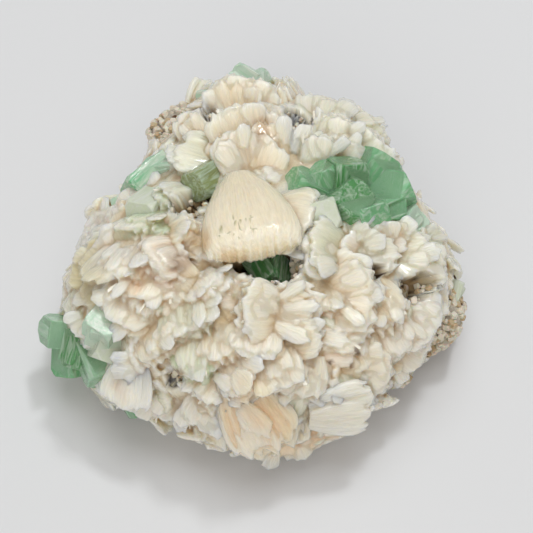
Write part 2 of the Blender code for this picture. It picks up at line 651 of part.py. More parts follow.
# Apophyllite: each cluster's crystals have grown into one another
for node, placed in spars_placed.items():
    first = bmesh.new()
    add_spar(first, *placed[0])
    cluster = to_object(node, first, specimen)
    if len(placed) > 1:
        others = bmesh.new()
        for place, spar in placed[1:]:
            add_spar(others, place, spar)
        boolean(cluster, to_cutter(node + "_others", others), "UNION")
    finished(cluster, apophyllite_green)

# Stilbite: one crust of sheaves and fans, hollow over the rock and open underneath
crust_form = bmesh.new()
rounded_form(crust_form, *CRUST_STEPS, lump=CRUST_LUMP)
occupied = []
for sheaf in SHEAVES:
    place = place_seen(sheaf, sheaf.thick, SHEAF_BURIED)
    occupied.append(place.middle)
    add_sheaf(crust_form, place, sheaf.length, sheaf.width, sheaf.thick)
for fan in FANS:
    for place, length in fan_blades(fan):
        occupied.append(place.middle)
        add_sheaf(crust_form, place, length, fan.width, fan.thick)
for placed in spars_placed.values():
    occupied.extend(place.middle for place, _ in placed)
occupied.extend(seen_at(hollow.px, hollow.py) for hollow in HOLLOWS)
for filler in fill_sheaves(occupied):
    add_sheaf(crust_form, *filler)
crust = to_object("stilbite", crust_form, specimen)
room = bmesh.new()
add_rock(room, GAP * ROUGH_GROWTH)
add_spars(room, spars_placed, GAP)
for druse in DRUSE.values():
    add_druse(room, druse, GAP)
for hollow in HOLLOWS:
    add_hollow(room, hollow)
boolean(crust, to_cutter("room_in_crust", room), "DIFFERENCE")
keep_largest(crust)
finished(crust, stilbite_cream, CRUST_KEPT)

# Basalt: the core with its knobs, cut flat to stand on, with gas bubbles where it shows
rock_form = bmesh.new()
add_rock(rock_form)
rock = to_object("matrix", rock_form, specimen)
room = bmesh.new()
bmesh.ops.create_cube(room, size=GROUND_CUT, matrix=Matrix.Translation((0, 0, -GROUND_CUT / 2)))
add_spars(room, spars_placed, GAP)
for druse in DRUSE.values():
    add_druse(room, druse, GAP)
for bubble in BUBBLES:
    azimuth = math.radians(bubble.direction)
    out = waist_radius(bubble.direction) * bubble.share
    centre = Vector((math.cos(azimuth) * out, math.sin(azimuth) * out, bubble.height))
    add_lump(room, centre, bubble.radius, level=1)
boolean(rock, to_cutter("room_in_rock", room), "DIFFERENCE")
keep_largest(rock)
finished(rock, basalt, ROCK_KEPT)

# Druse: each hollow's fine crystals are one crust
for node, druse in DRUSE.items():
    cushion_form = bmesh.new()
    add_druse(cushion_form, druse)
    cushion = to_object(node, cushion_form, specimen)
    room = bmesh.new()
    add_spars(room, spars_placed, GAP)
    boolean(cushion, to_cutter(node + "_room", room), "DIFFERENCE")
    finished(cushion, druse_tan)
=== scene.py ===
"""Looks of the apophyllite with stilbite specimen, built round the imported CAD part.

Every crystal takes its place from the same named values as the CAD solids. Lengths are in millimetres in
the CAD part's own axes, and are turned into metres when a mesh is written.
"""

import json
import math
import random
from collections import namedtuple

import bmesh
import bpy
import numpy as np
from mathutils import Matrix, Vector, noise
from mathutils.bvhtree import BVHTree

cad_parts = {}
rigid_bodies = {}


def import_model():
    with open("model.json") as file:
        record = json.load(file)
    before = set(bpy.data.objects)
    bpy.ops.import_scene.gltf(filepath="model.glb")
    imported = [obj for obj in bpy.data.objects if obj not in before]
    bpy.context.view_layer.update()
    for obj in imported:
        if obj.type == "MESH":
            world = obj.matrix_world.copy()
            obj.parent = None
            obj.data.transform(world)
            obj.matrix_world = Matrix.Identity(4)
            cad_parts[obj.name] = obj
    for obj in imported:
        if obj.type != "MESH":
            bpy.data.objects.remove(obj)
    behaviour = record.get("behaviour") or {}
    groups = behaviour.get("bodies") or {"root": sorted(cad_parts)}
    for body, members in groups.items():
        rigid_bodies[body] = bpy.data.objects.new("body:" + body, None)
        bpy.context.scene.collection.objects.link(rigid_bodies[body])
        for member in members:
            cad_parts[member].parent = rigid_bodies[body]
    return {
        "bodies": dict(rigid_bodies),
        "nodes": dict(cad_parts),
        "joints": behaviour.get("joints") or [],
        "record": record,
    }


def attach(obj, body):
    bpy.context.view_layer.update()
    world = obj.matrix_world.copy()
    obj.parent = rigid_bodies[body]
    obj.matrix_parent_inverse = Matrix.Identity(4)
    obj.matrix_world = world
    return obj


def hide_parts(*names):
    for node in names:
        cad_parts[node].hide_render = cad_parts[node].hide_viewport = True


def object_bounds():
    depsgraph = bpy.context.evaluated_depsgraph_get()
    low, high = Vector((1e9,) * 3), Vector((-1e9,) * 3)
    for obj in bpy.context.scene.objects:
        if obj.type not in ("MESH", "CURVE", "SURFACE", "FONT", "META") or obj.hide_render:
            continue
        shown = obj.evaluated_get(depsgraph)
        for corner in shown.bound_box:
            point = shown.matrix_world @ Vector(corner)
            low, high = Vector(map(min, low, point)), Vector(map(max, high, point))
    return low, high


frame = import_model()
cad_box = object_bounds()

MM = 0.001
GOLDEN_ANGLE = math.pi * (3.0 - math.sqrt(5.0))
SEED = 11

# The crust's form: a low dome that bulges at its waist and closes in again above the ground
WAIST_HEIGHT = 12.0
DOME_HEIGHT = 45.0
CRUST_CLOSES = 2.0         # height at which the underside of the form would close
FORM_POWER = 2.3
CRUST_LUMP = 1.2
# Radius of the waist by direction, in degrees from +X
WAIST = (
    (-7, 54), (13, 50), (33, 49), (50, 55), (70, 57), (88, 64), (98, 66), (110, 60), (125, 51), (147, 42),
    (165, 44), (180, 47), (197, 53), (210, 55), (224, 50), (245, 48), (268, 51), (290, 50), (317, 49),
    (338, 53),
)

# The basalt core, which shows at the foot and in a few knobs
ROCK_SHARE = 0.84          # its plan against the crust's
ROCK_HEIGHT = 36.0
ROCK_CLOSES = -12.0        # below the ground, where it is cut flat
ROCK_LUMP = 2.2
LUMP_UNEVEN = 0.24

# A stilbite sheaf
SHEAF_BURIED = 2.5

# An apophyllite block: slope of the pyramid faces that cut its corners
PYRAMID_SLOPE = math.radians(60.5)
SPAR_BURIED = 3.0
HOLLOW_BURIED = 7.5
SPAR_BEVEL = 0.22

# The view that the pixels below are read in: a square picture, looking along +Y and down
PICTURE = 533.0
SENSOR_WIDTH = 36.0        # the camera's, in its own millimetres
LENS_OVER_SENSOR = 85.0 / SENSOR_WIDTH
VIEW_ELEVATION = math.radians(55.0)
VIEW_DISTANCE = 360.0
VIEW_DEPTH = 110.0         # how far before and behind the target the specimen can reach
VIEW_TARGET = Vector((3.0, 2.0, 16.0))

# px, py: where the middle shows; heading: its way in the picture, 0 right and 90 up; rise: out of the crust
Sheaf = namedtuple("Sheaf", "px py heading rise length width thick tint")
SHEAVES = (
    Sheaf(235, 100, 102, 40, 14, 12, 8, "beige"), Sheaf(263, 102, 80, 45, 13, 9, 7, "beige"),
    Sheaf(244, 130, 112, 35, 16, 12, 8, "beige"), Sheaf(270, 124, 72, 30, 15, 9, 6, "beige"),
    Sheaf(292, 96, 84, 30, 12, 7, 6, "beige"), Sheaf(312, 109, 70, 25, 11, 8, 6, "beige"),
    Sheaf(326, 116, 62, 30, 13, 11, 8, "clear"), Sheaf(331, 137, 60, 40, 14, 12, 8, "clear"),
    Sheaf(352, 124, 58, 28, 13, 11, 8, "clear"), Sheaf(371, 136, 32, 28, 12, 10, 7, "clear"),
    Sheaf(362, 149, 15, 50, 12, 12, 8, "clear"), Sheaf(380, 156, -5, 28, 11, 8, 7, "clear"),
    Sheaf(346, 158, 45, 45, 12, 10, 7, "clear"), Sheaf(318, 157, 74, 40, 14, 9, 6, "clear"),
    Sheaf(277, 150, 102, 28, 17, 9, 6, "beige"), Sheaf(261, 164, 78, 24, 15, 9, 6, "beige"),
    Sheaf(236, 158, 122, 32, 15, 12, 8, "beige"), Sheaf(203, 154, 172, 22, 15, 11, 7, "clear"),
    Sheaf(199, 130, 112, 45, 13, 10, 8, "beige"), Sheaf(186, 156, 190, 26, 10, 9, 6, "clear"),
    Sheaf(178, 197, 215, 30, 13, 9, 7, "mint"), Sheaf(146, 224, 250, 30, 13, 10, 7, "mint"),
    Sheaf(180, 230, 5, 32, 13, 8, 6, "cream"), Sheaf(102, 230, 150, 20, 13, 11, 8, "white"),
    Sheaf(119, 243, 110, 30, 12, 9, 6, "white"), Sheaf(130, 260, -96, 24, 19, 12, 8, "white"),
    Sheaf(98, 264, 172, 14, 13, 12, 9, "khaki"), Sheaf(100, 285, 205, 16, 12, 9, 7, "khaki"),
    Sheaf(82, 307, 182, 12, 10, 5, 5, "white"), Sheaf(76, 320, 168, 12, 9, 6, 5, "white"),
    Sheaf(91, 326, 215, 35, 10, 8, 6, "clear"), Sheaf(104, 388, -76, 20, 12, 9, 7, "clear"),
    Sheaf(165, 258, -150, 30, 14, 11, 8, "pink"), Sheaf(147, 283, -118, 22, 17, 10, 7, "cream"),
    Sheaf(130, 303, -135, 20, 17, 11, 7, "cream"), Sheaf(177, 290, -80, 26, 12, 7, 5, "cream"),
    Sheaf(158, 338, -52, 36, 13, 9, 6, "cream"), Sheaf(133, 340, -42, 34, 10, 6, 5, "white"),
    Sheaf(208, 284, -40, 40, 11, 8, 6, "white"), Sheaf(194, 312, -62, 26, 15, 12, 7, "clear"),
    Sheaf(233, 291, 10, 26, 9, 6, 5, "white"), Sheaf(178, 328, -92, 30, 12, 8, 6, "cream"),
    Sheaf(203, 350, -82, 24, 16, 10, 7, "mint"), Sheaf(144, 368, 186, 28, 14, 8, 6, "white"),
    Sheaf(152, 395, -104, 26, 14, 9, 6, "white"), Sheaf(134, 385, -150, 24, 10, 7, 5, "clear"),
    Sheaf(175, 403, -96, 22, 13, 9, 7, "white"), Sheaf(238, 372, -30, 30, 14, 11, 8, "pearl"),
    Sheaf(204, 405, -112, 20, 13, 9, 7, "white"), Sheaf(212, 383, -120, 30, 12, 8, 6, "cream"),
    Sheaf(292, 436, -76, 12, 12, 11, 8, "peach"), Sheaf(324, 428, -32, 12, 13, 9, 7, "peach"),
    Sheaf(371, 373, -8, 30, 13, 12, 9, "beige"), Sheaf(314, 376, -88, 18, 16, 9, 7, "beige"),
    Sheaf(339, 376, -66, 22, 12, 7, 6, "clear"), Sheaf(279, 365, -72, 22, 16, 12, 8, "beige"),
    Sheaf(298, 338, 24, 28, 14, 8, 6, "cream"), Sheaf(284, 318, -6, 16, 21, 10, 7, "cream"),
    Sheaf(262, 304, 172, 28, 14, 12, 8, "cream"), Sheaf(254, 340, -100, 28, 14, 10, 7, "beige"),
    Sheaf(229, 340, -78, 32, 13, 10, 7, "beige"), Sheaf(334, 338, 2, 14, 14, 9, 7, "pink"),
    Sheaf(347, 314, -28, 24, 15, 12, 8, "cream"), Sheaf(325, 300, -82, 30, 12, 8, 6, "cream"),
    Sheaf(294, 281, 122, 24, 9, 8, 6, "beige"), Sheaf(348, 285, 22, 22, 16, 10, 7, "cream"),
    Sheaf(381, 302, -62, 24, 15, 10, 7, "beige"), Sheaf(391, 334, -76, 26, 14, 9, 7, "pearl"),
    Sheaf(368, 342, -102, 22, 12, 8, 7, "beige"), Sheaf(416, 315, -22, 30, 12, 11, 7, "pearl"),
    Sheaf(411, 345, -34, 22, 12, 9, 6, "pearl"), Sheaf(398, 364, -40, 18, 11, 8, 6, "pearl"),
    Sheaf(421, 266, -32, 24, 16, 12, 8, "clear"), Sheaf(443, 262, -12, 20, 10, 11, 7, "clear"),
    Sheaf(405, 247, 12, 30, 13, 9, 7, "clear"), Sheaf(385, 240, 82, 34, 11, 8, 6, "beige"),
    Sheaf(361, 240, 32, 30, 11, 9, 7, "clear"), Sheaf(322, 255, 172, 24, 14, 12, 9, "clear"),
    Sheaf(369, 261, -2, 12, 18, 9, 7, "clear"), Sheaf(423, 237, 48, 30, 10, 7, 6, "clear"),
    Sheaf(415, 215, 55, 24, 10, 6, 5, "pearl"), Sheaf(393, 170, 25, 20, 9, 6, 5, "pearl"),
    Sheaf(430, 290, -24, 22, 11, 9, 6, "pearl"),
)

# A bow tie's half: blades that open from one root; px, py: where the root shows. The looks make it one
# broad sheaf, so many times wider (swells), turned by degrees, and its root moved right and down by pixels
Fan = namedtuple("Fan", "px py heading spread count rise length width thick tint swells turn right down")
FAN_FLATTENS = 2.6         # how much less the outer blades rise than the middle one
FAN_SINKS = 4.0            # degrees by which every blade lies lower than the fan's rise
FAN_SHORTENS = 0.5         # how much shorter the outer blades are
FANS = (
    Fan(238, 177, -78, 76, 7, 11, 32, 9.5, 10, "cream", 1.0, 1, 0, 0),
    Fan(266, 206, -8, 44, 3, 16, 15, 7, 7, "cream", 1.7, 0, 3, 8),
    Fan(236, 370, -60, 20, 3, -14, 29, 8.5, 10, "peach", 1.5, 0, 0, 0),
    Fan(228, 398, -64, 34, 3, -6, 17, 8, 9, "pearl", 1.2, 0, 0, 0),
    Fan(308, 412, 10, 20, 2, 12, 20, 8, 9, "white", 1.15, 0, 0, 0),
    Fan(132, 352, -106, 44, 3, 18, 17, 7, 6, "white", 1.2, 0, 0, 0),
)

# cut: how far the pyramid faces reach down the prism's edges, against its width
Spar = namedtuple("Spar", "px py heading rise length width turn cut tint")
APOPHYLLITE = {
    "apophyllite_right_cluster": (
        Spar(372, 176, 60, 50, 13, 9.5, 20, 0.5, "mid"), Spar(388, 195, -5, 45, 13, 9, 10, 0.7, "mid"),
        Spar(384, 209, -20, 30, 12, 7, 40, 0.5, "mid"), Spar(345, 182, 110, 60, 12, 8.5, 0, 0.4, "deep"),
        Spar(348, 203, -70, 60, 12, 9, 30, 0.6, "deep"), Spar(366, 216, -70, 38, 12, 8, 15, 0.4, "mid"),
        Spar(329, 183, 150, 50, 11, 7.5, 45, 0.8, "mid"), Spar(308, 189, 180, 30, 12, 7, 10, 0.5, "mid"),
        Spar(325, 213, -110, 40, 11, 7.5, 25, 0.5, "milky"), Spar(403, 224, 60, 24, 10, 6.5, 20, 0.4, "pale"),
        Spar(411, 228, 10, 24, 9, 5.5, 0, 0.5, "pale"),
    ),
    "apophyllite_left_shoulder": (
        Spar(153, 183, 236, 14, 15, 9, 25, 0.35, "mint"), Spar(163, 172, 200, 24, 10, 7, 10, 0.5, "mint"),
        Spar(150, 210, 250, 25, 11, 8, 0, 0.4, "milky"), Spar(129, 205, 215, 22, 9, 6, 20, 0.6, "pale"),
    ),
    "apophyllite_saddle": (
        Spar(208, 178, 235, 22, 13, 7.5, 30, 0.5, "olive"), Spar(199, 186, 225, 22, 9, 5.5, 10, 0.5, "olive"),
    ),
    "apophyllite_hollow": (
        Spar(261, 271, -60, 16, 10, 6, 15, 0.5, "deep"), Spar(274, 270, -100, 12, 9, 6, 40, 0.6, "deep"),
    ),
    "apophyllite_left_point": (
        Spar(57, 331, 178, 18, 10, 7, 10, 0.7, "light"), Spar(69, 358, -120, 25, 10, 6.5, 35, 0.5, "mid"),
        Spar(82, 350, -80, 32, 10, 7.5, 0, 0.6, "deep"), Spar(97, 362, -40, 35, 11, 8, 20, 0.5, "light"),
        Spar(105, 328, 60, 38, 11, 8, 15, 0.4, "pale"), Spar(107, 347, 20, 40, 10, 7, 30, 0.6, "milky"),
        Spar(72, 344, 200, 18, 13, 7.5, 0, 0.5, "light"),
    ),
    "apophyllite_far_point": (
        Spar(248, 78, 95, 20, 9, 5.5, 10, 0.6, "pale"), Spar(260, 84, 75, 25, 9, 5.5, 40, 0.5, "pale"),
        Spar(240, 84, 120, 20, 8, 4.5, 20, 0.5, "pale"),
    ),
    "apophyllite_far_left": (Spar(213, 98, 140, 18, 9, 5, 0, 0.5, "pale"),),
    "apophyllite_right_end": (Spar(447, 296, 50, 18, 10, 6.5, 10, 0.5, "milky"),),
    "apophyllite_near_left": (Spar(131, 399, -110, 18, 9, 5.5, 20, 0.5, "mid"),),
}

# Hollows between the sheaves: depth below the form, with the way in square to it
Hollow = namedtuple("Hollow", "px py width depth stretch heading")
HOLLOWS = (
    Hollow(272, 268, 13, 9, 1.7, 0),
    Hollow(216, 128, 6, 8, 2.0, 90),
    Hollow(294, 130, 10, 7, 1.6, 90),
    Hollow(198, 203, 8, 8, 1.4, 30),
    Hollow(187, 218, 6, 6, 1.8, 0),
    Hollow(406, 290, 9, 7, 1.5, 20),
    Hollow(371, 275, 5, 6, 1.3, 0),
    Hollow(177, 374, 5, 6, 1.2, 0),
)

# Fine crystals that line two of the hollows
Druse = namedtuple("Druse", "px py width thick")
DRUSE_SUNK = 6.0           # depth of the cushion's middle below the form
DRUSE = {"druse_far_hollow": Druse(294, 132, 10, 3.5), "druse_right_hollow": Druse(407, 291, 7.5, 3.0)}

# Knobs where the basalt comes through: px, py on the seen side, then the ones at the back by direction
Knob = namedtuple("Knob", "px py radius sunk")
KNOBS = (
    Knob(164, 134, 12.0, 8.5), Knob(453, 323, 11.5, 9.5), Knob(120, 392, 7.0, 6.0), Knob(404, 380, 7.0, 7.5),
)
BackKnob = namedtuple("BackKnob", "direction height radius sunk")
BACK_KNOBS = (BackKnob(122, 13, 15.0, 11.5), BackKnob(66, 16, 17.0, 13.5))

# Dark green gas bubbles in the knobs, as pixel and radius, and how far the knobs stand out of the form there
VESICLES = (
    (451, 314, 1.7), (446, 328, 1.4), (441, 313, 0.9), (457, 326, 1.0), (152, 130, 0.9), (171, 143, 0.8),
)
VESICLE_TINT = (52, 70, 40)
VESICLE_LIFT = 2.2
VESICLE_RIM = 1.2          # the bubble's colour reaches this far out, against its radius

# Gas bubbles in the rest of the basalt; share: how far out they lie, against the crust's plan
Bubble = namedtuple("Bubble", "direction height radius share")
BUBBLES = (
    Bubble(-6, 10, 1.7, 1.02), Bubble(-1, 7, 1.3, 1.02), Bubble(70, 7, 2.0, ROCK_SHARE),
    Bubble(118, 9, 1.8, ROCK_SHARE), Bubble(95, 4, 1.5, ROCK_SHARE), Bubble(230, 3, 1.2, ROCK_SHARE),
)

# Filling of the rest of the crust
FILL_SEED = 7
FILL_CANDIDATES = 520
FILL_SPACING = 11.0
FILL_REACH = 3.6           # how far a filler's tip may stand out of the form
FILL_LOWEST = 5.0
FILL_DEPTH = 1.42          # share of the form's height that is filled from the top, 2 being all of it
SEEN_FACING = 0.45         # how squarely the crust must face the view to count as its seen side
SEEN_SCALE = 0.8
BACK_SPACING = 8.6
KNOB_CLEAR = 2.5           # how far fillers keep from a knob of basalt
BACK_SCALE = 1.15          # the back's sheaves are larger

# What the looks add. The crust between the sheaves and the basalt: faces round and up, and their relief
GROUND_STEPS = (260, 120)
GROUND_LIFT = 2.6          # how far the crust stands out of the form on its upper part
GROUND_ROUGH = 1.4
GROUND_STAINS = 0.6
ROCK_FINE_STEPS = (220, 110)
ROCK_ROUGH = 1.4
KNOB_DETAIL = 4            # subdivisions of the knobs' balls
BOX_CLEAR = 0.4            # how far crystals keep inside the CAD part's box

# A leaf of stilbite: its rings along its length, its thickness there, and where its width is full
LEAF_ROWS = (0.0, 0.18, 0.36, 0.54, 0.7, 0.82, 0.91, 0.97, 1.0)
LEAF_THICK = ((0.0, 0.6), (0.3, 0.9), (0.7, 1.0), (0.9, 0.9), (0.97, 0.7), (1.0, 0.35))
LEAF_FULL_AT = 0.75
LEAF_ROUNDS = 0.18         # how much of its width it loses again at its end
# A leaf's end is lightened towards white as a painted highlight, by one share of this form
LEAF_FORM = {
    "square": 3.2, "convex": 0.14, "ragged": 0.08, "ridges": 0.2, "bend": 0.04, "stain": 0.2, "painted_tip_highlight": 0.3,
    "thickness": LEAF_THICK,
}
# Waves across a leaf, as radians a millimetre and strength
RAGGED_WAVES = ((1.1, 0.5), (2.6, 0.6), (4.4, 0.5))
RIDGE_WAVES = ((0.9, 0.5), (2.1, 0.6), (3.7, 0.5))

# Sheaves, and the leaves of every bearing that lie between them
SHEAF_FLAKES = 5           # small leaves on a sheaf's upper face
SHEAF_SWELLS = 1.3         # the looks' sheaves are so much broader than the CAD's
SPAR_CLEAR = 0.5           # share of a leaf's half width that it keeps off an apophyllite crystal
PETALS_DEPTH = 1.62        # share of the form's height that they cover from the top, 2 being all of it
PETAL_LOWEST = 3.5         # of a petal's root on the form, and of its tip
PETAL_TIP_LOWEST = 2.0
PETAL_OFF_HOLLOW = 0.6     # depth of a hollow from which none grow
PLATE_EDGE = 0.28          # width of a thin blade's knife edge
Petals = namedtuple("Petals", "count start length rise glints")
PETALS = (Petals(760, 0.7, (7.0, 12.0), (4, 26), 0.1), Petals(700, 1.9, (3.5, 6.0), (6, 40), 0.0))

# The fans: how much of the CAD blades' length and spread they fill, and the big one's own outline
FAN_REACH = 0.92
FAN_FILLS = 0.42
BIG_FAN_STEPS = 144
BIG_FAN_WIDTHS = ((0.0, 0.3), (0.18, 0.58), (0.36, 0.78), (0.54, 0.92), (0.7, 0.99), (0.82, 1.0), (1.0, 0.93))
BIG_FAN_FORM = {
    "square": 2.2, "convex": 0.07, "ragged": 0.016, "ridges": 0.012, "bend": 0.05, "stain": 0.1,
    "thickness": ((0.0, 0.5), (0.3, 0.85), (0.6, 1.0), (0.8, 0.92), (0.9, 0.76), (0.97, 0.5), (1.0, 0.22)),
}

# The fused skins: voxel and triangles, and the relief and colour laid on them
CRUST_VOXEL = 0.4
CRUST_TRIANGLES = 188000
SHELL_VOXEL = 0.3
SHELL_TRIANGLES = 70000
CRUST_SOFTENED = 1
STRIATION_DEPTH = 0.24
STRIATION_SCALE = 1.1
GRAIN_SPREAD = 500.0       # the crystals take their grain from so large a block of noise
GRAIN_STRETCH = 0.12       # the striations are this much drawn out along a blade
RECESS_ROUNDS = 14         # rounds of averaging that tell recesses from ridges
RECESS_FULL = 0.6          # depth of a recess that takes the whole painted shade
# Painted shade in recesses: how strongly they are darkened and warmed; painted highlight on ridges: how
# strongly they are lightened towards white
RECESS_PAINTED_SHADE = 0.6
RIDGE_PAINTED_HIGHLIGHT = 0.5

# Apophyllite: the looks' pyramid faces are smaller than the CAD's and the prisms broader, and smaller
# crystals grow beside each, turned and leaned by so many degrees
CUT_SHOWN = 0.6
SPAR_SWELLS = 1.1
GREEN_SWAY = (2.5, 4.0)
PALE_SWAY = (14.0, 16.0)
SPAR_GRAIN_STRETCH = 0.15
GREEN_BESIDE = 3
PALE_BESIDE = 5

# The hollows, which show narrower and less deep than the CAD's, and the grains in them and on the knobs
HOLLOW_NARROWS = 1.25
HOLLOW_STAINS = 0.95
SMALL_HOLLOW_SHOWN = 0.5
LARGE_HOLLOW = 8.0         # width over which a hollow has its whole depth
HOLLOW_RIM = 0.45          # width of its sloping rim, against its half width
HOLLOW_LIP = 8.0           # the wall's height over the form, where it leaves the hollow
HOLLOW_SEEN_OFF = 14.0     # a hollow presses the ground up to this far off its middle, and the skin so far
HOLLOW_REACH = 18.0
WALL_ROUNDS = 8
HOLLOW_CRUMBS = 0.16       # share of the hollows' points that carry a grain
DRUSE_GRAINS = 170
KNOB_GRAINS = 1050
KNOB_JITTER = 0.09
GRAIN_LOWEST = 3.0

# Stains on the crust, with a painted shadow under the big fan and painted shade in small crevices among them:
# where they show, half their length and width in pixels and the long way's heading, colour, strength, how
# fine their unevenness is, and whether they are specks
StainAndShade = namedtuple("StainAndShade", "px py long wide heading colour strength grain specks")
SPECK_FROM = 0.17          # unevenness from which a speck shows
STAINS_AND_PAINTED_SHADE = (
    StainAndShade(238, 227, 22, 11, 20, (168, 164, 116), 0.7, 1.3, True),
    StainAndShade(262, 252, 42, 9, 8, (246, 228, 188), 0.5, 0.3, False),
    StainAndShade(137, 284, 18, 8, 60, (230, 190, 142), 0.6, 0.5, False),
    # A painted shadow, brown-mauve, under the big fan's overhang
    StainAndShade(182, 262, 16, 12, 0, (176, 150, 128), 0.7, 0.4, False),
    StainAndShade(262, 127, 8, 16, 0, (190, 150, 105), 0.6, 0.8, False),
    StainAndShade(86, 272, 20, 26, 0, (214, 204, 166), 0.6, 0.3, False),
    StainAndShade(200, 240, 12, 14, 0, (205, 170, 120), 0.7, 0.5, False),
    StainAndShade(232, 258, 16, 10, -20, (222, 190, 140), 0.6, 0.5, False),
    StainAndShade(120, 388, 7, 20, 15, (180, 135, 110), 0.2, 0.6, False),
    StainAndShade(262, 408, 46, 20, -58, (250, 220, 180), 0.6, 0.2, False),
    StainAndShade(177, 374, 8, 6, 0, (120, 85, 50), 0.8, 0.8, False),
    # Dark brown spots where small crevices show: painted shade in the crevices
    StainAndShade(330, 362, 2.5, 3, 60, (110, 80, 50), 0.8, 1.0, False),
    StainAndShade(357, 351, 2.5, 5, 20, (120, 84, 50), 0.8, 1.0, False),
    StainAndShade(352, 367, 3, 4, 0, (140, 100, 60), 0.8, 1.0, False),
    StainAndShade(340, 332, 6, 1.6, -15, (80, 50, 40), 0.9, 1.0, False),
    StainAndShade(322, 168, 5, 4, 0, (120, 84, 50), 0.7, 1.0, False),
)

# The stage: a plain pale floor, a soft sky, a large light nearly overhead, one in front, and a small one
# that gives the crystals their glints
FLOOR_SIZE = 3.0
FLOOR_ROUGHNESS = 0.7
FLOOR_COLOUR = (0.70, 0.71, 0.73)
SKY_COLOUR = (1.0, 0.945, 0.885)
SKY_STRENGTH = 0.35
# name, spot in metres, size, watts, colour
LIGHTS = (
    ("window", (0.0, 0.3, 1.45), 1.0, 7.8, (0.95, 0.985, 1.0)),
    ("front", (-0.2, -1.2, 0.9), 1.2, 7.8, (1.0, 0.97, 0.93)),
    ("spark", (0.3, 0.5, 1.2), 0.16, 4.0, (0.97, 0.99, 1.0)),
)

Place = namedtuple("Place", "middle axis side up")


def waist_radius(degrees):
    """Radius of the waist in a direction, a smooth closed curve through the named ones."""
    degrees %= 360.0
    points = sorted((angle % 360, radius) for angle, radius in WAIST)
    count = len(points)
    for i in range(count):
        start = points[i][0]
        end = points[(i + 1) % count][0]
        end += 360 if end <= start else 0
        angle = degrees if degrees >= start else degrees + 360
        if start <= angle <= end:
            f = (angle - start) / (end - start)
            a, b, c, d = (points[(i + k) % count][1] for k in (-1, 0, 1, 2))
            curve = (2 * b) + (c - a) * f + (2 * a - 5 * b + 4 * c - d) * f ** 2
            return 0.5 * (curve + (3 * b - a - 3 * c + d) * f ** 3)
    return points[0][1]


def depth_in_form(point, lift=0.0):
    """Under 1 inside the crust's form, over 1 outside it; lift swells the form by so many millimetres."""
    x, y, z = point
    across = math.hypot(x, y) / (waist_radius(math.degrees(math.atan2(y, x))) + lift)
    if z > WAIST_HEIGHT:
        along = (z - WAIST_HEIGHT) / (DOME_HEIGHT + lift - WAIST_HEIGHT)
    else:
        along = (WAIST_HEIGHT - z) / (WAIST_HEIGHT - CRUST_CLOSES + lift)
    return (across ** FORM_POWER + along ** FORM_POWER) ** (1 / FORM_POWER)


def outward(point):
    """Unit normal of the form at a point."""
    step = 0.5
    slopes = []
    for axis in (Vector((step, 0, 0)), Vector((0, step, 0)), Vector((0, 0, step))):
        slopes.append(depth_in_form(point + axis) - depth_in_form(point - axis))
    return Vector(slopes).normalized()


def point_of_form(azimuth, latitude, share=1.0, top=DOME_HEIGHT, closes=CRUST_CLOSES, lift=0.0):
    """Point of the form, or of a smaller one of its kind, by azimuth and latitude in radians."""
    rim = math.cos(latitude) ** (2 / FORM_POWER)
    rise = abs(math.sin(latitude)) ** (2 / FORM_POWER)
    radius = (waist_radius(math.degrees(azimuth)) * share + lift) * rim
    if latitude > 0:
        z = WAIST_HEIGHT + (top - WAIST_HEIGHT + lift) * rise
    else:
        z = WAIST_HEIGHT - (WAIST_HEIGHT - closes + lift) * rise
    return Vector((radius * math.cos(azimuth), radius * math.sin(azimuth), z))


VIEW_AHEAD = Vector((0.0, math.cos(VIEW_ELEVATION), -math.sin(VIEW_ELEVATION)))
VIEW_UP = Vector((0.0, math.sin(VIEW_ELEVATION), math.cos(VIEW_ELEVATION)))
VIEW_RIGHT = Vector((1.0, 0.0, 0.0))
VIEW_EYE = VIEW_TARGET - VIEW_AHEAD * VIEW_DISTANCE


def seen_at(px, py, lift=0.0):
    """Point of the form, swollen by lift, that a pixel of the picture shows."""
    focal = PICTURE * LENS_OVER_SENSOR
    ray = VIEW_AHEAD + VIEW_RIGHT * ((px - PICTURE / 2) / focal) - VIEW_UP * ((py - PICTURE / 2) / focal)
    ray.normalize()
    nearest = None
    least = math.inf
    far = VIEW_DISTANCE - VIEW_DEPTH
    while far < VIEW_DISTANCE + VIEW_DEPTH:
        inside = depth_in_form(VIEW_EYE + ray * far, lift)
        if inside < least:
            least = inside
            nearest = far
        if inside < 1:
            break
        far += 1.0
    if least >= 1:
        return VIEW_EYE + ray * nearest
    near = far - 1.0
    for _ in range(16):
        middle = (near + far) / 2
        if depth_in_form(VIEW_EYE + ray * middle, lift) < 1:
            far = middle
        else:
            near = middle
    return VIEW_EYE + ray * far


def along_surface(point, heading):
    """Way along the form at a point that shows under a heading in the picture."""
    normal = outward(point)
    angle = math.radians(heading)
    way = VIEW_RIGHT * math.cos(angle) + VIEW_UP * math.sin(angle)
    facing = -VIEW_AHEAD.dot(normal)
    if facing > 0.35:
        tangent = way + VIEW_AHEAD * (way.dot(normal) / facing)
    else:
        tangent = way - normal * way.dot(normal)
    return tangent.normalized(), normal


def place_on(middle, tangent, normal, rise, turn=0.0):
    """Place of a crystal that leaves the crust under an angle, turned about its own axis."""
    lean = math.radians(rise)
    axis = (tangent * math.cos(lean) + normal * math.sin(lean)).normalized()
    up = normal * math.cos(lean) - tangent * math.sin(lean)
    side = up.cross(axis).normalized()
    up = axis.cross(side)
    roll = math.radians(turn)
    turned_side = side * math.cos(roll) + up * math.sin(roll)
    return Place(middle, axis, turned_side, axis.cross(turned_side))


def place_seen(crystal, thick, buried, turn=0.0):
    """Place of a crystal of a table, its middle where the photograph shows it."""
    stands = crystal.length / 2 * math.sin(math.radians(crystal.rise)) - buried + 0.2 * thick
    middle = seen_at(crystal.px, crystal.py, stands)
    tangent, normal = along_surface(middle, crystal.heading)
    return place_on(middle, tangent, normal, crystal.rise, turn)


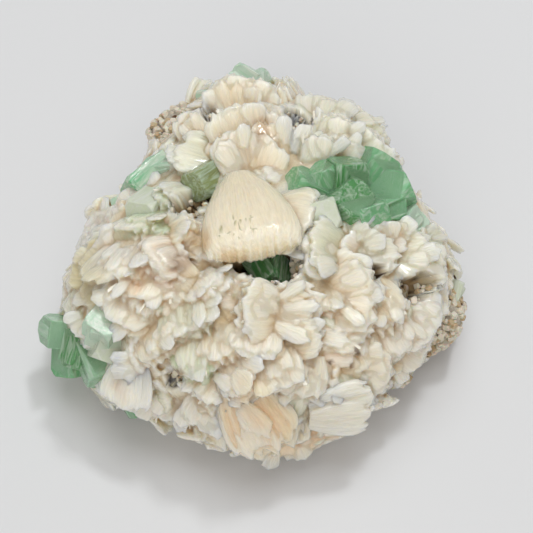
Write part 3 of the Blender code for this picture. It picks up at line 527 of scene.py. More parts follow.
def fan_blades(fan):
    """A fan's blades, as place and length, which share a root, rise most in the middle and end unevenly."""
    root = seen_at(fan.px, fan.py, fan.thick * 0.25)
    blades = []
    for i in range(fan.count):
        share = i / (fan.count - 1) - 0.5
        uneven = math.sin(2.7 * i + fan.px)
        tangent, normal = along_surface(root, fan.heading + share * fan.spread + 2.0 * uneven)
        bulge = fan.rise * (1.0 - FAN_FLATTENS * share ** 2) - FAN_SINKS + 1.5 * uneven
        length = fan.length * (1.0 - FAN_SHORTENS * share ** 2 + 0.04 * uneven)
        place = place_on(root, tangent, normal, bulge, 9.0 * uneven)
        blades.append((place._replace(middle=root + place.axis * (length / 2)), length))
    return blades


def fill_sheaves(taken):
    """Seeded sheaves wherever the placed crystals leave the crust bare, the back and the rim included."""
    rng = random.Random(FILL_SEED)
    knobs = knob_centres()
    found = []
    for i in range(FILL_CANDIDATES):
        point = point_of_form(i * GOLDEN_ANGLE, math.asin(1.0 - FILL_DEPTH * (i + 0.5) / FILL_CANDIDATES))
        normal = outward(point)
        seen = -VIEW_AHEAD.dot(normal) > SEEN_FACING
        scale = SEEN_SCALE if seen else BACK_SCALE
        length = rng.uniform(10.0, 14.5) * scale
        width = rng.uniform(7.0, 11.0) * scale
        thick = rng.uniform(5.5, 8.0) * scale
        rise = rng.uniform(28.0, 58.0)
        swing = rng.uniform(-38.0, 38.0)
        turn = rng.uniform(-50.0, 50.0)
        spacing = FILL_SPACING if seen else BACK_SPACING
        if point.z < FILL_LOWEST or any((point - other).length < spacing for other in taken):
            continue
        if any((point - centre).length < radius + KNOB_CLEAR for centre, radius in knobs):
            continue
        away = Vector((point.x, point.y, 0.0)).normalized() - normal * 0.2
        slope = away - normal * away.dot(normal)
        slope = slope.normalized() if slope.length > 0.2 else normal.orthogonal().normalized()
        place = filler_place(point, slope, normal, (length, width, rise, swing, turn))
        if place:
            taken.append(point)
            found.append((place, length, width, thick))
    return found


def filler_place(point, slope, normal, size):
    """A filler's place: down the slope, or sideways or up where it would come too near the ground."""
    length, width, rise, swing, turn = size
    for detour in (0.0, 75.0, -75.0, 150.0):
        tangent = Matrix.Rotation(math.radians(swing + detour), 3, normal) @ slope
        lean = rise
        while lean >= 0.0:
            stands = length / 2 * math.sin(math.radians(lean)) - SHEAF_BURIED
            place = place_on(point + normal * stands, tangent, normal, lean, turn)
            tip = place.middle + place.axis * (length / 2)
            if tip.z - width / 3 > FILL_LOWEST and depth_in_form(tip, FILL_REACH) < 1:
                return place
            lean -= 6.0
    return None


def spar_sets():
    """Places of every apophyllite crystal, by node; those of the hollow lie on its floor."""
    sets = {}
    for name, spars in APOPHYLLITE.items():
        buried = HOLLOW_BURIED if name == "apophyllite_hollow" else SPAR_BURIED
        sets[name] = [(place_seen(spar, spar.width, buried, spar.turn), spar) for spar in spars]
    return sets


def knob_centres():
    """Middle and radius of every basalt knob, sunk so that only its face comes through."""
    centres = []
    for knob in KNOBS:
        point = seen_at(knob.px, knob.py)
        centres.append((point - outward(point) * knob.sunk, knob.radius))
    for knob in BACK_KNOBS:
        azimuth = math.radians(knob.direction)
        reach = Vector((math.cos(azimuth), math.sin(azimuth), 0.0))
        distance = waist_radius(knob.direction) * 1.2
        while depth_in_form(reach * distance + Vector((0, 0, knob.height))) > 1:
            distance -= 0.5
        point = reach * distance + Vector((0, 0, knob.height))
        centres.append((point - outward(point) * knob.sunk, knob.radius))
    return centres


class Cloud:
    """Closed shapes gathered into one mesh, each point with a colour and a place in its crystal's grain."""

    def __init__(self):
        self.points = []
        self.faces = []
        self.colours = []
        self.grains = []
        self.frames = []
        self.face_frames = []
        self.count = 0

    def add(self, points, faces, colours, grains, frame=None):
        """Add a closed shape; frame is its own axes and grain offset, where its surface is fused later."""
        self.points.append(points)
        self.colours.append(np.clip(colours, 0.0, 1.0))
        self.grains.append(grains)
        start = self.count
        self.faces.extend([tuple(start + i for i in face) for face in faces])
        self.face_frames.extend([len(self.frames)] * len(faces))
        self.frames.append(frame)
        self.count += len(points)

    def write(self, name, surface, smooth=False):
        """Make the piece, in metres, with its colour and grain as attributes."""
        points, colours, grains = map(np.concatenate, (self.points, self.colours, self.grains))
        return write_piece(name, surface, points, self.faces, colours, grains, smooth)


def linked(name, data):
    """An object of some data, in the scene."""
    made = bpy.data.objects.new(name, data)
    bpy.context.scene.collection.objects.link(made)
    return made


def write_piece(name, surface, points, faces, colours, grains, smooth):
    """An object from arrays in millimetres, with the tint and grain attributes that the finishes read."""
    data = bpy.data.meshes.new(name)
    data.from_pydata((points * MM).tolist(), [], faces)
    tint = data.attributes.new("tint", "FLOAT_COLOR", "POINT")
    opaque = np.hstack((np.clip(colours, 0.0, 1.0), np.ones((len(colours), 1))))
    tint.data.foreach_set("color", opaque.astype(np.float32).ravel())
    grain = data.attributes.new("grain", "FLOAT_VECTOR", "POINT")
    grain.data.foreach_set("vector", np.asarray(grains, np.float32).ravel())
    if smooth:
        data.polygons.foreach_set("use_smooth", [True] * len(data.polygons))
    data.materials.append(surface)
    data.validate()
    data.update()
    return linked(name, data)


def mesh_arrays(held):
    """Points, faces and normals of an object with its modifiers."""
    made = held.evaluated_get(bpy.context.evaluated_depsgraph_get()).to_mesh()
    points, normals = np.zeros(len(made.vertices) * 3), np.zeros(len(made.vertices) * 3)
    made.vertices.foreach_get("co", points)
    made.vertices.foreach_get("normal", normals)
    faces = [tuple(polygon.vertices) for polygon in made.polygons]
    return points.reshape(-1, 3), faces, normals.reshape(-1, 3)


def nearest_corners(points, source, faces):
    """For each point, the nearest face of a source with its corners and their weights by nearness."""
    tree = BVHTree.FromPolygons([tuple(point) for point in source], faces)
    for point in points:
        _, _, face, _ = tree.find_nearest(Vector(point))
        corners = list(faces[face])
        weights = 1.0 / (np.linalg.norm(source[corners] - point, axis=1) + 0.05) ** 2
        yield point, face, corners, weights / weights.sum()


def fused(cloud, voxel, triangles):
    """One skin over all of a cloud's shapes: points, faces, normals, colours and grain, in millimetres."""
    source = np.concatenate(cloud.points)
    shades = np.concatenate(cloud.colours)
    data = bpy.data.meshes.new("fusing")
    data.from_pydata(source.tolist(), [], cloud.faces)
    held = linked("fusing", data)
    remesh = held.modifiers.new("skin", "REMESH")
    remesh.mode = "VOXEL"
    remesh.voxel_size = voxel
    soften = held.modifiers.new("soften", "SMOOTH")
    soften.factor = 0.5
    soften.iterations = CRUST_SOFTENED
    whole = held.evaluated_get(bpy.context.evaluated_depsgraph_get()).data
    thin = held.modifiers.new("thin", "DECIMATE")
    thin.ratio = min(1.0, triangles / (2.0 * len(whole.polygons)))
    thin.use_collapse_triangulate = True
    held.modifiers.new("threes", "TRIANGULATE")
    points, faces, normals = mesh_arrays(held)
    bpy.data.objects.remove(held)
    colours = np.zeros((len(points), 3))
    grains = np.zeros((len(points), 3))
    for i, (point, face, corners, weights) in enumerate(nearest_corners(points, source, cloud.faces)):
        colours[i] = weights @ shades[corners]
        frame = cloud.frames[cloud.face_frames[face]]
        if frame is None:
            grains[i] = point
        else:
            base, axes, offset, length, root = frame
            local = (point - base) @ axes
            local[0] /= opened(local[2] / length, root)
            grains[i] = local * (1.0, 1.0, GRAIN_STRETCH) + offset
    return points, faces, normals, colours, grains


def joined(cloud):
    """A cloud's overlapping crystals as one solid, flat-faced: points, faces, colours and grain."""
    source = np.concatenate(cloud.points)
    shades = np.concatenate(cloud.colours)
    grain = np.concatenate(cloud.grains)
    held = []
    first = len(cloud.points[0])
    for name, is_first in (("joining", True), ("rest", False)):
        data = bpy.data.meshes.new(name)
        kept = [face for face in cloud.faces if (face[0] < first) == is_first]
        used = sorted({corner for face in kept for corner in face})
        number = {corner: i for i, corner in enumerate(used)}
        renumbered = [tuple(number[corner] for corner in face) for face in kept]
        data.from_pydata(source[used].tolist(), [], renumbered)
        held.append(linked(name, data))
    union = held[0].modifiers.new("union", "BOOLEAN")
    union.operation = "UNION"
    union.object = held[1]
    union.solver = "EXACT"
    union.use_self = True
    points, faces, _ = mesh_arrays(held[0])
    for item in held:
        bpy.data.objects.remove(item)
    colours = np.zeros((len(points), 3))
    grains = np.zeros((len(points), 3))
    for i, (_, _, corners, weights) in enumerate(nearest_corners(points, source, cloud.faces)):
        colours[i] = weights @ shades[corners]
        grains[i] = weights @ grain[corners]
    return points, faces, colours, grains


def averaged(points, faces, rounds):
    """Points moved to the middle of their neighbours, so many times over."""
    edges = np.concatenate([faces[:, (0, 1)], faces[:, (1, 2)], faces[:, (2, 0)]])
    edges = np.concatenate([edges, edges[:, ::-1]])
    count = np.maximum(np.bincount(edges[:, 0], minlength=len(points)), 1)[:, None]
    for _ in range(rounds):
        sums = [np.bincount(edges[:, 0], points[edges[:, 1], i], len(points)) for i in range(3)]
        points = np.column_stack(sums) / count
    return points


def linear(red, green, blue):
    """An sRGB colour, 0 to 255, as linear light."""
    shares = np.array((red, green, blue)) / 255.0
    return np.where(shares <= 0.04045, shares / 12.92, ((shares + 0.055) / 1.055) ** 2.4)


TINTS = {
    "cream": linear(250, 239, 214),
    "beige": linear(243, 229, 200),
    "clear": linear(231, 231, 206),
    "mint": linear(216, 231, 196),
    "white": linear(252, 247, 233),
    "pink": linear(246, 231, 212),
    "pearl": linear(249, 242, 227),
    "peach": linear(251, 224, 188),
    "khaki": linear(226, 214, 170),
}
FILLER_TINTS = ("cream", "beige", "white", "clear", "pearl")
ROOT_STAIN = linear(226, 201, 160)
# Factor that darkens and warms the skin's recesses as painted shade
RECESS_SHADE_TINT = linear(220, 194, 152)
GREENS = {
    "deep": linear(104, 184, 112),
    "mid": linear(146, 222, 164),
    "pale": linear(208, 242, 216),
    "olive": linear(172, 188, 128),
    "milky": linear(236, 246, 222),
    "light": linear(182, 236, 192),
    "mint": linear(214, 246, 222),
}
GREEN_TINTS = ("deep", "mid", "olive", "light")
PALE_TINTS = ("pale", "milky", "mint")
SPAR_TIPS = {"mint": linear(120, 206, 150)}
BROWN = linear(96, 66, 38)
DARK = linear(46, 33, 20)
TAN = linear(206, 184, 148)
CHALK = linear(236, 226, 208)


def blend(plain, other, share):
    """A colour with a share of another one."""
    return plain * (1.0 - share) + other * share


def eased(share):
    """A share from 0 to 1 with soft ends."""
    return share * share * (3 - 2 * share)


def grain_start(rng):
    """Where a crystal's own grain starts in the noise that all of them share."""
    return np.array([rng.uniform(0, GRAIN_SPREAD) for _ in range(3)])


def set_at(place, base, local):
    """Points from a crystal's own axes, with its root at a base."""
    x, y, z = local
    return base + np.outer(x, place.side) + np.outer(y, place.up) + np.outer(z, place.axis)


def wave(rng, spots, tones):
    """Waves of seeded phases, as pitch in radians and strength, added up."""
    return sum(strength * np.sin(spots * pitch + rng.uniform(0, 2 * math.pi)) for pitch, strength in tones)


def opened(shares, root):
    """Width of a leaf along its length, against its widest: it opens from the root and rounds off."""
    wide = root + (1.0 - root) * np.sin(np.clip(shares / LEAF_FULL_AT, 0.0, 1.0) * math.pi / 2)
    return wide * (1.0 - LEAF_ROUNDS * np.clip((shares - 0.8) / 0.2, 0.0, 1.0) ** 2)


def add_leaf(cloud, rng, place, size, tint, around=24, root=0.5, widths=None, **form):
    """One leaf of a sheaf: it opens from its root, is lens-shaped in section, and ends in a ragged edge."""
    form = {**LEAF_FORM, **form}
    length, width, thick = size
    base = np.array(place.middle - place.axis * (length / 2))
    angles = np.linspace(0.0, 2 * math.pi, around, endpoint=False)
    cos, sin = np.cos(angles), np.sin(angles)
    across = np.sign(cos) * np.abs(cos) ** (2 / form["square"])
    through = np.sign(sin) * np.abs(sin) ** (2 / form["square"])
    shares = np.array(LEAF_ROWS)
    wide = np.interp(shares, *zip(*widths)) if widths else opened(shares, root)
    thin = np.interp(shares, *zip(*form["thickness"]))
    ends = 1.0 - form["convex"] * across ** 2 + form["ragged"] * wave(rng, across * width, RAGGED_WAVES)
    relief = 1.0 + form["ridges"] * wave(rng, across * width, RIDGE_WAVES)
    x = (np.outer(across, wide) * width / 2).ravel()
    y = (np.outer(through * relief, thin) * thick / 2).ravel()
    z = ((shares + np.outer(ends - 1.0, shares ** 4)) * length).ravel()
    run = z / length
    lowered = y - form["bend"] * length * run ** 2
    points = set_at(place, base, (x, lowered, z))
    rows = len(shares)
    faces = []
    for i in range(around):
        j = (i + 1) % around
        for k in range(rows - 1):
            faces.append((i * rows + k, j * rows + k, j * rows + k + 1, i * rows + k + 1))
    last = rows - 1
    for i in range(around // 2):
        corners = [i, i + 1, around - i - 1, (around - i) % around]
        faces.append(tuple(corner * rows + last for corner in dict.fromkeys(corners)))
    faces.append(tuple(i * rows for i in reversed(range(around))))
    rooted = np.clip(1.0 - run / 0.5, 0.0, 1.0)[:, None] * form["stain"]
    # Painted highlight: the leaf grows lighter towards its end
    tip_highlight = np.clip((run - 0.75) / 0.25, 0.0, 1.0)[:, None] * form["painted_tip_highlight"]
    shade = tint * rng.uniform(0.95, 1.0)
    colours = blend(blend(shade, ROOT_STAIN * tint, rooted), TINTS["white"], tip_highlight)
    axes = np.array([tuple(place.side), tuple(place.up), tuple(place.axis)]).T
    offset = grain_start(rng)
    grains = np.column_stack((x, y, z * GRAIN_STRETCH)) + offset
    cloud.add(points, faces, colours, grains, (base, axes, offset, length, root))


def leaned(place, root, reach, swing, tilt):
    """The place of a crystal from a root, swung to the side and tilted up from a sheaf's own."""
    axis = place.axis + place.side * math.tan(math.radians(swing)) + place.up * math.tan(math.radians(tilt))
    axis.normalize()
    side = (place.side - axis * place.side.dot(axis)).normalized()
    return Place(root + axis * (reach / 2), axis, side, axis.cross(side))


def add_sheaf(cloud, rng, place, size, tint, leaves=5, flakes=SHEAF_FLAKES):
    """A sheaf: broad leaves on each other that open from one root, with small flakes on their upper face."""
    length, width, thick = size
    root = place.middle - place.axis * (length / 2)
    for i in range(leaves):
        level = (i + 0.5) / leaves * 2 - 1
        reach = length * (1.04 - 0.07 * (level + 1) + rng.uniform(-0.07, 0.04))
        start = root + place.up * (level * 0.24 * thick) + place.side * (rng.uniform(-0.12, 0.12) * width)
        leaf = leaned(place, start, reach, rng.uniform(-13, 13), 5.0 * level + rng.uniform(-3, 3))
        extent = (reach, width * rng.uniform(0.75, 1.12), thick * rng.uniform(0.24, 0.38))
        white = rng.random() ** 2 * 0.8
        add_leaf(cloud, rng, leaf, extent, blend(tint, TINTS["white"], white), around=36)
    for _ in range(flakes):
        across = rng.uniform(-0.42, 0.42)
        share = rng.uniform(0.2, 0.62)
        reach = length * rng.uniform(0.34, 0.56)
        start = root + place.axis * (length * share) + place.side * (across * width * opened(share, 0.5))
        start += place.up * (thick * rng.uniform(0.26, 0.42) * (1.0 - across ** 2))
        leaf = leaned(place, start, reach, across * 34 + rng.uniform(-24, 24), rng.uniform(-4, 9))
        extent = (reach, width * rng.uniform(0.24, 0.5), rng.uniform(0.8, 1.2))
        add_leaf(cloud, rng, leaf, extent, (tint + TINTS["white"]) / 2, around=12, stain=0.0)


def fan_place(fan):
    """Place and size of the one broad sheaf that stands for a fan's blades."""
    root = seen_at(fan.px + fan.right, fan.py + fan.down, fan.thick * 0.25)
    tangent, normal = along_surface(root, fan.heading + fan.turn)
    place = place_on(root, tangent, normal, fan.rise - FAN_SINKS)
    wide = (fan.width + 2 * fan.length * math.sin(math.radians(fan.spread / 2)) * FAN_FILLS) * fan.swells
    length = fan.length * FAN_REACH
    return place._replace(middle=root + place.axis * (length / 2)), (length, wide, fan.thick)


def plate_outline(rng, width, length):
    """A blade seen on its flat side: narrow root, straight edges, and a pointed end with small steps."""
    peak = rng.uniform(-0.22, 0.22)
    slope = rng.uniform(0.1, 0.3)
    outline = [(0.26, 0.0), (0.42, 0.38), (0.47, 0.75)]
    for i, x in enumerate((0.44, 0.2, -0.1, -0.44)):
        step = rng.uniform(0.0, 0.04) if i % 2 else -rng.uniform(0.0, 0.04)
        outline.append((x, 1.0 - slope * abs(x - peak) + step))
    outline += [(-0.47, 0.73), (-0.42, 0.36), (-0.26, 0.0)]
    return np.array(outline) * (width, length)


def add_plate(cloud, rng, place, size, tint):
    """One thin clear blade: flat faces and knife edges."""
    length, width, thick = size
    outline = plate_outline(rng, width, length)
    middle = np.array((0.0, length * 0.55))
    inner = middle + (outline - middle) * (1.0 - min(0.3, PLATE_EDGE / width), 1.0 - PLATE_EDGE / length)
    rings = ((inner, -0.5), (outline, rng.uniform(-0.25, 0.25)), (inner, 0.5))
    flat = np.concatenate([ring for ring, _ in rings])
    y = np.concatenate([np.full(len(outline), height * thick) for _, height in rings])
    x, z = flat[:, 0], flat[:, 1]
    base = np.array(place.middle - place.axis * (length / 2))
    points = set_at(place, base, (x, y, z))
    count = len(outline)
    faces = [tuple(range(count)), tuple(reversed(range(2 * count, 3 * count)))]
    for ring in (0, count):
        for i in range(count):
            j = (i + 1) % count
            faces.append((ring + j, ring + i, ring + count + i, ring + count + j))
    colours = np.tile(np.maximum(tint, TINTS["white"]), (len(points), 1))
    cloud.add(points, faces, colours, np.column_stack((x, y, z * GRAIN_STRETCH)) + grain_start(rng))


def add_glints(cloud, rng, frames, place, size, tint, count):
    """Thin blades that stand a little out of a sheaf's face and end, along its grain."""
    length, width, thick = size
    root = place.middle - place.axis * (length / 2)
    for _ in range(count):
        across = rng.uniform(-0.46, 0.46)
        share = rng.uniform(0.3, 0.8)
        reach = length * rng.uniform(0.12, 0.26)
        rise = thick * (rng.uniform(0.14, 0.28) * (1.0 - 1.2 * across ** 2))
        off = place.side * (across * width * opened(share, 0.5))
        start = root + place.axis * (length * share) + off + place.up * rise
        blade = leaned(place, start, reach, across * 34 + rng.uniform(-9, 9), rng.uniform(-5, 4))
        roll = math.radians(rng.uniform(-65, 65))
        if hollow_depth(start, frames)[0] > 0.3 or not in_box(blade.middle):
            continue
        side = blade.side * math.cos(roll) + blade.up * math.sin(roll)
        blade = Place(blade.middle, blade.axis, side, blade.axis.cross(side))
        add_plate(cloud, rng, blade, (reach, rng.uniform(0.5, 1.4), rng.uniform(0.2, 0.4)), tint)


def bounded(point, limit):
    """Scale from 0 at a bound to 1 well inside it."""
    return max(0.0, min(1.0, point / limit))


def hollow_frames():
    """Each hollow's middle, way in, long way and short way."""
    frames = []
    for hollow in HOLLOWS:
        point = seen_at(hollow.px, hollow.py)
        tangent, normal = along_surface(point, hollow.heading)
        frames.append((hollow, point, normal, tangent, normal.cross(tangent)))
    return frames


def hollow_depth(point, frames):
    """How far a point of the form is pressed in by a hollow, and the hollow's way in."""
    deepest = 0.0
    way = None
    for hollow, centre, normal, long_way, short_way in frames:
        off = point - centre
        if abs(off.dot(normal)) > HOLLOW_SEEN_OFF:
            continue
        along = off.dot(long_way) / (hollow.width * hollow.stretch / 2)
        far = math.hypot(along, off.dot(short_way) / (hollow.width / 2))
        far = far * HOLLOW_NARROWS + 0.2 * noise.noise(point * 0.5)
        share = eased(bounded(1.25 - far, HOLLOW_RIM))
        if share * hollow.depth > deepest:
            deepest = share * hollow.depth
            way = normal
    return deepest, way


def hollow_share(far, point):
    """How fully a point lies in a hollow, from its distance to the middle against the hollow's half width."""
    return eased(bounded(1.1 - far * HOLLOW_NARROWS - 0.35 * fractal(point, 0.35, 3), HOLLOW_RIM))


def hollow_floor(hollow, far, point):
    """Height of a hollow's floor or wall over the crust's form."""
    share = hollow_share(far, point)
    depth = hollow.depth * (1.0 if hollow.width > LARGE_HOLLOW else SMALL_HOLLOW_SHOWN)
    return -depth * share + HOLLOW_LIP * (1.0 - share) + 0.8 * fractal(point, 0.8, 3)


def open_hollows(points, faces, colours, walls):
    """Press the skin into the hollows, stain their walls, and list the points of these."""
    points = points.copy()
    pressed = np.zeros(len(points), bool)
    grown = {}
    for hollow, centre, normal, long_way, short_way in hollow_frames():
        off = points - np.array(centre)
        height = off @ np.array(normal)
        reach = (off @ np.array(long_way) / (hollow.width * hollow.stretch / 2)) ** 2
        reach += (off @ np.array(short_way) / (hollow.width / 2)) ** 2
        near = np.flatnonzero((reach < 2.0) & (np.abs(height) < HOLLOW_REACH))
        for i in near:
            point = Vector(points[i])
            share = hollow_share(math.sqrt(reach[i]), point)
            if share <= 0.0:
                continue
            floor = hollow_floor(hollow, math.sqrt(reach[i]), point)
            if height[i] > floor:
                points[i] += np.array(normal) * (floor - height[i])
                pressed[i] = True
            mottle = fractal(point, 0.7, 3)
            dirt = BROWN if mottle < 0.05 else TAN * 0.9
            dirt = DARK if mottle < -0.16 else dirt
            if share > 0.3:
                grown[i] = normal
            strength = HOLLOW_STAINS * share
            colours[i] = blend(colours[i], dirt, strength)
    evened = averaged(points, faces, WALL_ROUNDS)
    points[pressed] = evened[pressed]
    walls.extend((Vector(points[i]), normal) for i, normal in grown.items())
    return points, colours


def stained_and_shaded(points, normals, colours):
    """Lay the photo's stains, the painted shadow and the painted crevice shade on the skin, soft-edged, where
    it faces the view.
    """
    eye = np.array(VIEW_EYE)
    ray = points - eye
    depth = ray @ np.array(VIEW_AHEAD)
    focal = PICTURE * LENS_OVER_SENSOR
    px = PICTURE / 2 + focal * (ray @ np.array(VIEW_RIGHT)) / depth
    py = PICTURE / 2 - focal * (ray @ np.array(VIEW_UP)) / depth
    facing = -(normals @ np.array(VIEW_AHEAD)) > 0.0
    for stain in STAINS_AND_PAINTED_SHADE:
        angle = math.radians(stain.heading)
        off_x, off_y = px - stain.px, stain.py - py
        along = (off_x * math.cos(angle) + off_y * math.sin(angle)) / stain.long
        across = (off_y * math.cos(angle) - off_x * math.sin(angle)) / stain.wide
        far = np.hypot(along, across)
        for i in np.flatnonzero((far < 1.3) & facing):
            uneven = fractal(Vector(points[i]), stain.grain, 3)
            if stain.specks:
                strength = stain.strength * (uneven > SPECK_FROM) * (far[i] < 1.0)
            else:
                strength = stain.strength * bounded(1.15 - far[i] + 0.5 * uneven, 0.6)
            colours[i] = blend(colours[i], linear(*stain.colour), strength)
    return colours


def write_skin(name, cloud, voxel, triangles, walls=None):
    """Fuse leaves to one skin and give it its striations, hollows, stains, painted shade in its recesses and
    painted highlights on its ridges.
    """
    points, faces, normals, colours, grains = fused(cloud, voxel, triangles)
    for i in range(len(points)):
        points[i] += normals[i] * (STRIATION_DEPTH * fractal(Vector(grains[i]), STRIATION_SCALE, 3))
    if walls is not None:
        points, colours = open_hollows(points, np.array(faces), colours, walls)
    # Painted shade darkens the recesses and a painted highlight whitens the ridges, both found from the
    # skin's shape
    sunk = ((averaged(points, np.array(faces), RECESS_ROUNDS) - points) * normals).sum(axis=1)
    deep = np.clip(sunk / RECESS_FULL, 0.0, 1.0)[:, None] * RECESS_PAINTED_SHADE
    high = np.clip(-sunk / RECESS_FULL, 0.0, 1.0)[:, None] * RIDGE_PAINTED_HIGHLIGHT
    colours = blend(blend(colours, colours * RECESS_SHADE_TINT, deep), TINTS["white"], high)
    return write_piece(name, stilbite_pearly, points, faces, stained_and_shaded(points, normals, colours), grains, True)


def fractal(point, scale, octaves=4):
    """Noise of several sizes, from about -1 to 1."""
    total = 0.0
    strength = 0.5
    where = point * scale
    for _ in range(octaves):
        total += strength * noise.noise(where)
        where = where * 2.1
        strength *= 0.55
    return total


def ball_arrays(create, **steps):
    """A unit ball of one of bmesh's kinds, as points and faces."""
    ball = bmesh.new()
    create(ball, radius=1.0, **steps)
    points = [vert.co.copy() for vert in ball.verts]
    faces = [tuple(vert.index for vert in face.verts) for face in ball.faces]
    ball.free()
    return points, faces


def bearings(unit):
    """Azimuth and latitude of a point of the unit ball."""
    return math.atan2(unit.y, unit.x), math.asin(max(-1.0, min(1.0, unit.z)))


def in_box(point):
    """Whether a point keeps inside the CAD part's box."""
    low, high = cad_box
    return all(low[i] / MM + BOX_CLEAR < point[i] < high[i] / MM - BOX_CLEAR for i in range(3))


def by_spar(root, tip, margin):
    """Whether a leaf from root to tip would hide an apophyllite crystal."""
    for share in (0.0, 0.33, 0.67, 1.0):
        point = root.lerp(tip, share)
        for place, spar in SPARS_AT:
            along = max(-spar.length / 2, min(spar.length / 2, (point - place.middle).dot(place.axis)))
            if (place.middle + place.axis * along - point).length < spar.width / 2 + margin * SPAR_CLEAR:
                return True
    return False


def ground_lift(point):
    """How far the crust between the sheaves stands out of the form: less near the ground."""
    lift = GROUND_LIFT * bounded(point.z - CRUST_CLOSES, 16.0)
    for centre, radius in KNOBS_AT:
        lift *= bounded((point - centre).length - radius + 1.0, 4.0)
    return lift


def add_ground(cloud, frames):
    """The stilbite crust that the sheaves grow from, pressed in at the hollows."""
    around, up = GROUND_STEPS
    points, faces = ball_arrays(bmesh.ops.create_uvsphere, u_segments=around, v_segments=up)
    places = []
    colours = []
    for unit in points:
        point = point_of_form(*bearings(unit))
        normal = outward(point)
        depth, way = hollow_depth(point, frames)
        rough = GROUND_ROUGH * fractal(point, 0.2) + CRUST_LUMP * noise.noise(unit * 3.1)
        lift = ground_lift(point)
        moved = point + normal * (rough + lift)
        colour = TINTS["cream"] * (0.9 + 0.1 * noise.noise(point * 0.15))
        stain = bounded(0.35 + 1.1 * noise.noise(point * 0.09 + Vector((5, 3, 1))) - 0.35 * rough, 1.0)
        colour = blend(colour, ROOT_STAIN, GROUND_STAINS * stain)
        if way:
            moved -= way * (depth + lift * bounded(depth, 4.0))
            wall = min(1.0, depth / 4.0)
            mottle = bounded(0.5 + 0.9 * fractal(point, 0.6), 1.0)
            colour = blend(colour, blend(DARK, BROWN, mottle), wall)
        places.append(moved)
        colours.append(colour)
    places = np.array([tuple(place) for place in places])
    cloud.add(places, faces, np.array(colours), places.copy())


def add_petals(cloud, blades, rng, frames, petals, tints):
    """Leaves of every bearing that lie on the crust between the sheaves, and a few thin blades on them."""
    for i in range(petals.count):
        latitude = math.asin(1.0 - PETALS_DEPTH * (i + 0.5) / petals.count)
        point = point_of_form(i * GOLDEN_ANGLE + petals.start, latitude)
        length = rng.uniform(*petals.length)
        width = length * rng.uniform(0.5, 0.85)
        thick = length * rng.uniform(0.13, 0.2)
        rise = rng.uniform(*petals.rise)
        bearing = rng.uniform(0.0, 360.0)
        roll = rng.uniform(-25, 25)
        tint = TINTS[tints[rng.randrange(len(tints))]]
        if point.z < PETAL_LOWEST or hollow_depth(point, frames)[0] > PETAL_OFF_HOLLOW:
            continue
        if any((point - centre).length < radius + length * 0.35 for centre, radius in KNOBS_AT):
            continue
        normal = outward(point)
        for turn in range(6):
            way = Matrix.Rotation(math.radians(bearing + 60 * turn), 3, normal)
            place = place_on(point, way @ normal.orthogonal().normalized(), normal, rise, roll)
            root = point + normal * (ground_lift(point) * 0.8) - place.axis * (length * 0.35)
            tip = root + place.axis * length
            if min(tip.z, root.z) > PETAL_TIP_LOWEST and in_box(tip) and not by_spar(root, tip, width / 2):
                break
        else:
            continue
        place = place._replace(middle=root + place.axis * (length / 2))
        add_leaf(cloud, rng, place, (length, width, thick), tint, around=16, stain=0.2)
        if rng.random() < petals.glints:
            add_glints(blades, rng, frames, place, (length, width, thick), tint, 2)


def spar_block(width, length, cut, bevel):
    """A square prism with cut corners and softened edges, in its own axes, as arrays."""
    block = bmesh.new()
    bmesh.ops.create_cube(block, size=2.0, matrix=Matrix.Diagonal((width / 2, width / 2, length / 2, 1.0)))
    for x_side, y_side in ((1, 1), (-1, 1), (-1, -1), (1, -1)):
        flat = math.sin(PYRAMID_SLOPE) / math.sqrt(2)
        normal = Vector((x_side * flat, y_side * flat, math.cos(PYRAMID_SLOPE)))
        through = Vector((x_side * width / 2, y_side * width / 2, length / 2 - cut * width))
        everything = block.verts[:] + block.edges[:] + block.faces[:]
        plane = {"plane_co": through, "plane_no": normal, "clear_outer": True}
        made = bmesh.ops.bisect_plane(block, geom=everything, **plane)
        rim = [item for item in made["geom_cut"] if isinstance(item, bmesh.types.BMEdge)]
        bmesh.ops.contextual_create(block, geom=rim)
    bmesh.ops.remove_doubles(block, verts=block.verts, dist=0.01)
    bmesh.ops.bevel(block, geom=block.edges[:], offset=bevel, segments=1, affect="EDGES", profile=0.5)
    bmesh.ops.recalc_face_normals(block, faces=block.faces)
    points = np.array([tuple(vert.co) for vert in block.verts])
    block.verts.index_update()
    faces = [tuple(vert.index for vert in face.verts) for face in block.faces]
    block.free()
    return points, faces


